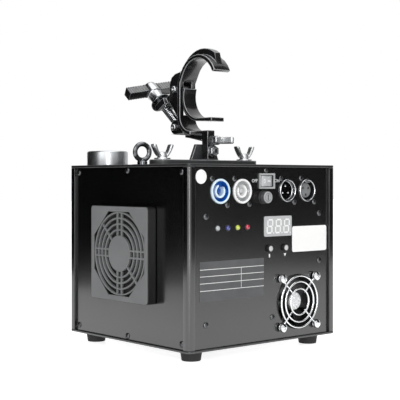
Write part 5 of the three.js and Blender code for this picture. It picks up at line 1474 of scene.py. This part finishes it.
# %% Floor
FLOOR_GLOW = 0.8
WHITE = (1, 1, 1, 1)
clear_selection()
bpy.ops.mesh.primitive_plane_add(size=12)
floor = bpy.context.object
floor.name = "floor"
floor_finish = bpy.data.materials.new("pale_studio_floor")
floor_finish.use_nodes = True
tree = floor_finish.node_tree
floor_shader = tree.nodes["Principled BSDF"]
floor_shader.inputs["Base Color"].default_value = linear("#e4e4e4")
floor_shader.inputs["Roughness"].default_value = 0.35
lift = add(tree, "ShaderNodeMath", {"operation": "MULTIPLY"}, {0: ray_sees(tree)})
lift.inputs[1].default_value = FLOOR_GLOW
glow = add(tree, "ShaderNodeEmission", {"Color": WHITE}, {"Strength": lift.outputs[0]})
both = add(tree, "ShaderNodeAddShader", links={0: floor_shader.outputs[0], 1: glow.outputs[0]})
tree.links.new(both.outputs[0], tree.nodes["Material Output"].inputs["Surface"])
floor.data.materials.append(floor_finish)
print("floor", tuple(floor.dimensions))

# %% World
WORLD_LIGHT = 0.45
world = bpy.data.worlds.new("studio")
bpy.context.scene.world = world
world.use_nodes = True
tree = world.node_tree
background = tree.nodes["Background"]
levels = {"To Min": WORLD_LIGHT, "To Max": 1.0}
level = add(tree, "ShaderNodeMapRange", levels, {"Value": ray_sees(tree)})
tree.links.new(level.outputs["Result"], background.inputs["Strength"])
background.inputs["Color"].default_value = WHITE
print("the world lights with", WORLD_LIGHT, "and looks white")

# %% [markdown]
# ## Lamps
# Three large square lamps hang over the object and at both sides, because a large lamp gives soft
# shadows and wide reflections. A narrow upright one beside the camera draws thin bright lines on
# the chrome.

# %% Lamps


def softbox(name, place, target, size, power):
    """A large square lamp that faces a point."""
    clear_selection()
    bpy.ops.object.light_add(type="AREA", location=place)
    lamp = bpy.context.object
    lamp.name = name
    lamp.data.shape = "SQUARE"
    lamp.data.size = size
    lamp.data.energy = power
    aim = Vector(target) - Vector(place)
    lamp.rotation_euler = aim.to_track_quat("-Z", "Y").to_euler()
    print(name, power, "W")
    return lamp


MID_HEIGHT = (0, 0, 0.15)
softbox("softbox_over", (0, -0.1, 1.5), (0, 0, 0.1), 1.2, 9)
softbox("softbox_left", (-1.3, -0.4, 0.9), MID_HEIGHT, 0.9, 5)
softbox("softbox_right", (0.9, -1.2, 0.8), MID_HEIGHT, 0.9, 5)
strip_lamp = softbox("strip_by_camera", (-0.8, -1.1, 0.45), MID_HEIGHT, 0.12, 6)
strip_lamp.data.shape = "RECTANGLE"
strip_lamp.data.size_y = 1.0

# %% [markdown]
# ## Black cards
# Black paint shows only what it mirrors. Two upright black cards, at the left and at the right,
# turn it dark at the top, while the pale floor lights it from below. Only reflections see them:
# they are hidden from the camera and block no light.

# %% Cards


def black_card(name, centre, width, tall, heading):
    """An upright dark card that only reflections show."""
    clear_selection()
    bpy.ops.mesh.primitive_plane_add(size=1, location=centre, rotation=(math.pi / 2, 0, heading))
    card = bpy.context.object
    card.name = name
    card.scale = (width, tall, 1)
    card.visible_camera = False
    card.visible_diffuse = False
    card.visible_shadow = False
    card.visible_transmission = False
    skin = bpy.data.materials.new(name + "_felt")
    skin.use_nodes = True
    felt = skin.node_tree.nodes["Principled BSDF"].inputs
    felt["Base Color"].default_value = linear("#050505")
    felt["Roughness"].default_value = 0.9
    felt["Specular IOR Level"].default_value = 0.0
    card.data.materials.append(skin)
    print(name, width, "by", tall, "m")


black_card("card_left", (-0.41, 0.42, 0.76), 1.2, 1.5, math.radians(40))
black_card("card_right", (0.78, -0.65, 0.735), 1.15, 1.46, math.radians(44))

# %% [markdown]
# ## View
# The picture keeps colours as they are.

# %% Finish
bpy.context.scene.view_settings.view_transform = "Standard"
